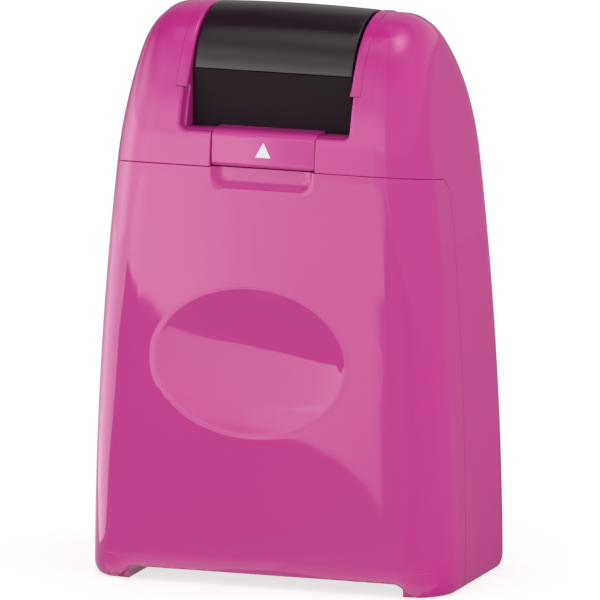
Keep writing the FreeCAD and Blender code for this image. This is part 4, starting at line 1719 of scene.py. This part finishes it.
@dataclass(frozen=True)
class Cove:
    """Reflectors round the stamp, which only gloss sees.

    A board lies on the floor, with a round wall and a ceiling about it. In front and on the left the
    wall and two cards on the board are lit, and a small card stands close to the thumb dish. Levels
    are a share of white board. Turns are counted in degrees from the right over the front, and
    places are in millimetres from the stamp's middle. The wall has a level at each of its turns for
    its foot, its middle and its top. near_x and near_y are the front card's near edge, and
    far_edge is the far card's, each placed so that its image in the gloss lies as in the photograph.

    These edges and levels aren't a free design. They were measured from the photograph's gloss,
    followed back along the reflected rays, and then rounded and partly moved.
    """

    inner: float = 20.0
    fine_board: float = 100.0
    board_steps: Pair = (2.0, 12.0)
    wall_step: float = 8.0
    arch_rows: int = 46
    turns: int = 540
    wall_radius: float = 460.0
    wall_height: float = 455.0
    lift: float = 0.25
    board_turns: Series = (0.0, 50.0, 62.0, 76.0, 92.0, 108.0, 132.0, 150.0, 200.0, 222.0, 270.0,
                                      289.0, 302.0, 320.0, 340.0, 360.0)
    board_levels: Series = (0.72, 0.65, 0.6, 0.76, 0.75, 0.63, 0.58, 0.5, 0.8, 0.6, 0.6,
                                       0.3, 0.36, 0.52, 0.62, 0.72)
    # Painted shadow of the stamp on the board: the board's level is dimmed beside the stamp's right side.
    painted_shadow_from: float = 31.0
    painted_shadow_reach: float = 30.0
    painted_shadow_share: float = 0.7
    painted_shadow_back: Pair = (-40.0, -10.0)
    foot_glow: float = 1.6
    foot_reach: float = 10.0
    foot_front: float = 18.0
    foot_from: float = 17.0
    foot_sides: Pair = (20.0, 45.0)
    key_turns: Series = (91.0, 99.0, 103.0, 107.0, 108.5, 110.5, 113.0, 130.0, 142.0, 150.0, 158.0,
                                    172.0, 192.0, 200.0, 207.0, 214.0, 222.0)
    key_levels: Series = (1.5, 1.9, 2.15, 2.25, 2.6, 3.4, 3.7, 4.1, 3.5, 2.8, 2.7,
                                     3.1, 2.8, 2.2, 1.4, 0.9, 0.7)
    wall_turns: Series = (40.0, 76.0, 80.0, 104.0, 107.0, 110.0, 125.0, 140.0, 152.0, 165.0, 177.0,
                                     186.0, 196.0, 206.0, 222.0, 250.0, 289.0, 310.0, 335.0, 360.0)
    foot_levels: Series = (0.82, 0.85, 1.3, 1.5, 2.0, 3.4, 3.5, 3.2, 3.0, 4.0, 3.7,
                                      2.6, 1.9, 1.1, 0.3, 0.2, 0.35, 0.42, 0.6, 0.72)
    middle_levels: Series = (0.9, 1.0, 2.1, 2.2, 2.2, 2.5, 2.8, 2.4, 2.3, 2.6, 2.3,
                                        1.6, 0.8, 0.2, 0.1, 0.4, 0.75, 0.75, 0.8, 0.87)
    top_levels: Series = (0.82, 0.9, 1.2, 1.35, 1.1, 1.2, 1.4, 1.2, 0.95, 0.6, 0.3,
                                     0.0, 0.0, 0.0, 0.0, 0.4, 0.5, 0.6, 0.75, 0.82)
    middle_from: Pair = (135.0, 165.0)
    top_from: Pair = (215.0, 365.0)
    rises: Series = (44.5, 48.0, 53.0, 58.0, 62.0, 67.0, 85.0)
    rise_levels: Series = (1.0, 0.8, 0.55, 0.42, 0.5, 0.75, 0.9)
    near_x: Series = (0.4, -10.0, -22.0, -38.0, -92.0, -99.0, -138.0, -249.0, -309.0, -275.0,
                                 -257.0, -187.0, -150.0, -127.0, -60.0, -50.0, -79.0, -90.0, -108.0, -115.0)
    near_y: Series = (-76.0, -98.0, -118.0, -138.0, -227.0, -240.0, -253.0, -246.0, -221.0, -185.0,
                                 -136.0, -94.0, -59.0, -43.0, -20.0, -8.0, 14.0, 29.0, 53.0, 96.0)
    far_turns: Series = (88.5, 94.0, 98.0, 103.3, 107.0)
    far_edge: Series = (408.0, 362.0, 327.0, 262.0, 240.0)
    wedge_side: float = 20.8
    wedge_tilt: float = 0.351
    least_side: float = 0.02
    border: float = 2.5
    line_step: float = 3.0
    dish_card_end: float = 0.3
    dish_card_y: float = -48.0
    dish_card_middle: Pair = (-12.6, 31.0)
    dish_card_half: Pair = (16.8, 11.8)
    dish_card_top: float = 39.0
    dish_card_x: Series = (-29.2, -21.3, -16.5, -14.1, -12.7, -11.8, -10.8, -10.0, -8.9, -7.5)
    dish_card_low: Series = (26.0, 27.8, 28.2, 28.2, 27.4, 26.4, 25.0, 23.6, 21.3, 19.0)
    dish_card_levels: Pair = (3.3, 2.0)
    spot_turn: float = 0.0
    spot_rise: float = 72.0
    spot_width: float = 12.5
    spot_level: float = 3.2

    def build(self) -> None:
        """Builds the sheet all round, the cards on the board, and the small card near the dish."""
        material = self.material()
        self.round_sheet(material)
        near = self.cut_line(np.stack([self.near_x, self.near_y], axis=1))
        turn = np.degrees(np.arctan2(-near[:, 1], near[:, 0])) % FULL_TURN
        side = np.cos(np.radians(turn)) + self.wedge_tilt * np.sin(np.radians(turn))
        reach = self.wedge_side + self.foot_front * self.wedge_tilt
        wedge = np.where(side > self.least_side, reach / np.maximum(side, self.least_side), np.inf)
        self.card("glow_card_front", turn, np.hypot(near[:, 0], near[:, 1]),
                  np.minimum(wedge, self.wall_radius), material)
        turn = np.linspace(self.far_turns[0], self.far_turns[-1], 40)
        edge = np.interp(turn, self.far_turns, self.far_edge)
        self.card("glow_card_far", turn, edge, np.full_like(edge, self.wall_radius), material)
        self.dish_card(material)

    def dish_card(self, material: Material) -> None:
        """A small upright card that only the thumb dish sees: above its lower line, in an ellipse.

        Args:
            material: Its material.
        """
        (middle_x, middle_z), (half_x, half_z) = self.dish_card_middle, self.dish_card_half
        x = np.linspace(self.dish_card_x[0], middle_x + half_x - self.dish_card_end, 60)
        half = half_z * np.sqrt(1.0 - ((x - middle_x) / half_x) ** 2)
        low = np.maximum(np.interp(x, self.dish_card_x, self.dish_card_low), middle_z - half)
        high = np.maximum(np.minimum(self.dish_card_top, middle_z + half), low)
        share = np.linspace(0.0, 1.0, 5)[:, None]
        z = low + share * (high - low)
        x = np.repeat(x[None, :], len(z), axis=0)
        level = np.interp(x, (self.dish_card_x[0], self.dish_card_x[-1]), self.dish_card_levels)
        points = np.stack([x, np.full_like(x, self.dish_card_y), z], axis=-1).reshape(-1, 3)
        self.sheet("glow_card_dish", points, [grid_quads(*x.shape)], level.reshape(-1), material)

    def cut_line(self, line: Array) -> Array:
        """The same open line with points line_step apart or closer.

        Args:
            line: Open line, one (x, y) a row.

        Returns:
            Its points.
        """
        lengths = np.linalg.norm(np.diff(line, axis=0), axis=1)
        place = np.concatenate([[0.0], np.cumsum(lengths)])
        marks = np.unique(np.concatenate([place, np.arange(0.0, place[-1], self.line_step)]))
        return np.stack([np.interp(marks, place, line[:, axis]) for axis in (0, 1)], axis=1)

    def card(self, name: str, turn: Array, near: Array, far: Array, material: Material) -> None:
        """A lit card on the board, ruled from its near edge outwards, with a soft near border.

        Args:
            name: Its name.
            turn: Turn of each ruling line.
            near: Distance at which each line starts.
            far: Distance at which it ends.
            material: Its material.
        """
        share = np.linspace(0.0, 1.0, 8)[:, None]
        start = np.minimum(near + self.border, far)
        reach = np.concatenate([near[None, :], start + share * (far - start)])
        angle = np.radians(turn)
        x, y = reach * np.cos(angle), -reach * np.sin(angle)
        level = np.repeat(np.interp(turn, self.key_turns, self.key_levels)[None, :], len(reach), axis=0)
        level[0] = np.interp(turn, self.board_turns, self.board_levels)
        points = np.stack([x, y, np.full_like(x, 2.0 * self.lift)], axis=-1).reshape(-1, 3)
        self.sheet(name, points, [grid_quads(*x.shape)], level.reshape(-1), material)

    def round_sheet(self, material: Material) -> None:
        """The board, the wall and the ceiling: a profile turned about Z.

        Args:
            material: Its material.
        """
        fine, coarse = self.board_steps
        board = steps((self.inner, 1.0), (self.fine_board, fine), (self.wall_radius, coarse))
        wall = steps((self.lift, 1.0), (self.wall_height, self.wall_step))[1:]
        start = math.atan2(self.wall_height, self.wall_radius)
        arch = np.linspace(start, QUARTER, self.arch_rows)[1:]
        reach = math.hypot(self.wall_height, self.wall_radius)
        radius = np.concatenate([board, np.full(len(wall), self.wall_radius), reach * np.cos(arch)])
        height = np.concatenate([np.full(len(board), self.lift), wall, reach * np.sin(arch)])
        points, faces = turned_sheet(radius, height, self.turns)
        self.sheet("glow_cove", points, faces, self.level(*points.T), material)

    def level(self, x: Array, y: Array, z: Array) -> Array:
        """Brightness of the board, the wall and the ceiling at their points.

        Args:
            x: Place to the right.
            y: Place to the back.
            z: Height.

        Returns:
            The brightness.
        """
        turn = np.degrees(np.arctan2(-y, x)) % FULL_TURN
        rise = np.degrees(np.arctan2(z, np.hypot(x, y)))
        foot, middle, top = (np.interp(turn, self.wall_turns, levels, period=FULL_TURN) for levels in (
            self.foot_levels, self.middle_levels, self.top_levels))
        wall = foot + (middle - foot) * smooth_rise(*self.middle_from, z)
        wall = wall + (top - middle) * smooth_rise(*self.top_from, z)
        # Painted shadow of the stamp on the board: dimmed by a share that fades with distance past the
        # stamp's right side, only beside and behind it, not in front.
        shade = self.painted_shadow_share * np.exp(-(np.maximum(x - self.painted_shadow_from, 0.0) / self.painted_shadow_reach))
        shade = shade * (x > 0.0) * smooth_rise(*self.painted_shadow_back, y)
        board = np.interp(turn, self.board_turns, self.board_levels) * (1.0 - shade)
        glow = self.foot_glow * np.exp(-np.abs(y + self.foot_front) / self.foot_reach)
        board = board + glow * (y < -self.foot_from) * (1.0 - smooth_rise(*self.foot_sides, np.abs(x)))
        low = np.where(np.hypot(x, y) > self.wall_radius - 1.0, wall, board)
        high = np.interp(rise, self.rises, self.rise_levels) * top
        return np.where(rise < self.rises[0], low, high) + self.spot(turn, rise)

    def spot(self, turn: Array, rise: Array) -> Array:
        """A soft round lamp: level * exp(-(angle / width)^2).

        Args:
            turn: Turn of each point.
            rise: Its angle over the floor.

        Returns:
            Brightness of the lamp there.
        """
        aside = (turn - self.spot_turn + HALF_TURN) % FULL_TURN - HALF_TURN
        angle = np.hypot(aside * np.cos(np.radians(self.spot_rise)), rise - self.spot_rise)
        return self.spot_level * np.exp(-(angle / self.spot_width) ** 2)

    def sheet(self, name: str, points: Array, faces: list[Array], level: Array,
              material: Material) -> None:
        """Puts a glowing sheet into the scene, unseen by the camera and by matt surfaces.

        Args:
            name: Its name.
            points: Its points in millimetres.
            faces: Its faces by point number.
            level: Brightness at each point.
            material: Its material.
        """
        cove = add_object(name, points, faces, material)
        glow = cove.data.attributes.new("glow", "FLOAT", "POINT")
        glow.data.foreach_set("value", level.astype(np.float32))
        cove.visible_camera = cove.visible_diffuse = cove.visible_shadow = False

    def material(self) -> Material:
        """Even glow as bright as each point's level.

        Returns:
            The material.
        """
        material = bpy.data.materials.new("studio_reflector")
        tree = bare_tree(material)
        level = add_node(tree, "ShaderNodeAttribute", {"attribute_name": "glow"})
        glow = add_node(tree, "ShaderNodeEmission", {}, {"Strength": level.outputs["Fac"]})
        add_node(tree, "ShaderNodeOutputMaterial", {}, {"Surface": glow.outputs[0]})
        material.cycles.emission_sampling = "NONE"
        return material


@dataclass(frozen=True)
class Lamp:
    """A rectangular lamp: where it stands, how large it is, and its brightness, where white board is 1."""

    name: str
    place: tuple[float, float, float]
    size: Pair
    level: float


@dataclass
class Studio:
    """Pale floor, soft lamps, and the camera at the photograph's angle."""

    azimuth: float = 19.35
    elevation: float = 11.03
    distance: float = 3500.0
    pixels: float = 600.0
    scale: float = 6.172
    sensor: float = 36.0
    middle: tuple[float, float, float] = (0.0, -1.1, 40.15)
    middle_pixel: Pair = (296.6, 326.7)
    floor_rings: Series = (0.0, 60.0, 200.0, 800.0, 4000.0)
    floor_glow: float = 0.72
    floor_shade: str = "9A9A9A"
    board_shade: str = "F0F0F0"
    white: float = 1.0
    soft_level: float = 0.98
    clip: Pair = (0.1, 100.0)
    lamps: tuple[Lamp, ...] = (
        Lamp("top_light", (0.0, -250.0, 1100.0), (900.0, 900.0), 0.85),
        Lamp("front_box", (-330.0, -960.0, 250.0), (560.0, 520.0), 2.0),
        Lamp("right_box", (1050.0, 130.0, 330.0), (900.0, 900.0), 1.35))

    def build(self) -> None:
        """Builds the floor, the cove, the lamps, the world and the camera."""
        bpy.context.scene.view_settings.view_transform = "Standard"
        self.floor()
        Cove().build()
        self.world()
        for lamp in self.lamps:
            self.light(lamp)
        self.camera()

    def camera(self) -> None:
        """A long lens far away, aimed so that the stamp falls where the photograph has it."""
        turn, tilt = math.radians(self.azimuth), math.radians(self.elevation)
        back = Vector((math.sin(turn) * math.cos(tilt), -math.cos(turn) * math.cos(tilt), math.sin(tilt)))
        right = Vector((math.cos(turn), math.sin(turn), 0.0))
        up = back.cross(right)
        half = self.pixels / 2.0
        aim = Vector(self.middle) + right * ((half - self.middle_pixel[0]) / self.scale)
        aim = aim + up * ((self.middle_pixel[1] - half) / self.scale)
        lens = bpy.data.cameras.new("camera")
        lens.sensor_width = self.sensor
        lens.lens = self.scale * self.distance / self.pixels * self.sensor
        lens.clip_start, lens.clip_end = self.clip
        camera = bpy.data.objects.new("camera", lens)
        camera.location = (aim + back * self.distance) * MM
        camera.rotation_euler = (-back).to_track_quat("-Z", "Y").to_euler()
        bpy.context.scene.collection.objects.link(camera)
        bpy.context.scene.camera = camera

    def floor(self) -> None:
        """Round pale floor under the stamp."""
        rings = np.array(self.floor_rings)
        floor = add_object("floor", *turned_sheet(rings, np.zeros(len(rings)), 64), self.floor_material())

    def floor_material(self) -> Material:
        """Matt white board.

        The camera, glossy pieces and clear ones see it as white with a faint soft shadow: a glow,
        and a share of the light that falls on it. Diffuse light meets plain pale board.

        Returns:
            The material.
        """
        material = bpy.data.materials.new("matt_board_white")
        tree = bare_tree(material)
        board = add_node(tree, "ShaderNodeBsdfDiffuse", {}, {"Color": linear(self.board_shade)})
        dim = add_node(tree, "ShaderNodeBsdfDiffuse", {}, {"Color": linear(self.floor_shade)})
        glow = add_node(tree, "ShaderNodeEmission", {}, {"Strength": self.floor_glow})
        shown = add_node(tree, "ShaderNodeAddShader", {}, {0: dim.outputs[0], 1: glow.outputs[0]})
        mixed = add_node(tree, "ShaderNodeMixShader", {}, {
            0: self.seen(tree), 1: board.outputs[0], 2: shown.outputs[0]})
        add_node(tree, "ShaderNodeOutputMaterial", {}, {"Surface": mixed.outputs[0]})
        return material

    def seen(self, tree: Tree) -> Socket:
        """1 for camera, glossy and transmission rays, and 0 for all others.

        Args:
            tree: The node tree.

        Returns:
            The socket with that number.
        """
        path = add_node(tree, "ShaderNodeLightPath")
        shiny = add_node(tree, "ShaderNodeMath", {"operation": "MAXIMUM"}, {
            0: path.outputs["Is Glossy Ray"], 1: path.outputs["Is Transmission Ray"]})
        every = add_node(tree, "ShaderNodeMath", {"operation": "MAXIMUM"}, {
            0: shiny.outputs[0], 1: path.outputs["Is Camera Ray"]})
        return every.outputs[0]

    def world(self) -> None:
        """White to camera, glossy and transmission rays, and an even soft light to everything else."""
        world = bpy.data.worlds.new("studio")
        bpy.context.scene.world = world
        tree = bare_tree(world)
        level = add_node(tree, "ShaderNodeMapRange", {}, {
            "Value": self.seen(tree), "To Min": self.soft_level, "To Max": self.white})
        light = add_node(tree, "ShaderNodeBackground", {}, {"Strength": level.outputs["Result"]})
        add_node(tree, "ShaderNodeOutputWorld", {}, {"Surface": light.outputs[0]})

    def light(self, lamp: Lamp) -> None:
        """Adds a lamp that faces the stamp and lights matt surfaces only, because gloss sees the cove.

        Args:
            lamp: The lamp.
        """
        data = bpy.data.lights.new(lamp.name, "AREA")
        data.shape = "RECTANGLE"
        data.size, data.size_y = lamp.size[0] * MM, lamp.size[1] * MM
        data.energy = lamp.level * math.pi * data.size * data.size_y
        light = bpy.data.objects.new(lamp.name, data)
        light.location = Vector(lamp.place) * MM
        aim = Vector(self.middle) * MM - light.location
        light.rotation_euler = aim.to_track_quat("-Z", "Y").to_euler()
        light.visible_camera = light.visible_glossy = False
        bpy.context.scene.collection.objects.link(light)


def main() -> None:
    """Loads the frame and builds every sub-assembly round it."""
    logging.basicConfig(level=logging.INFO, format="%(message)s")
    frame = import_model()
    dress_nodes(frame["nodes"])
    for assembly in (Case(), Cartridge(), Shutter(), PrintRoller(), InkRoller(), Studio()):
        assembly.build()
        LOG.info("%s done", type(assembly).__name__)


if __name__ == "__main__":
    main()
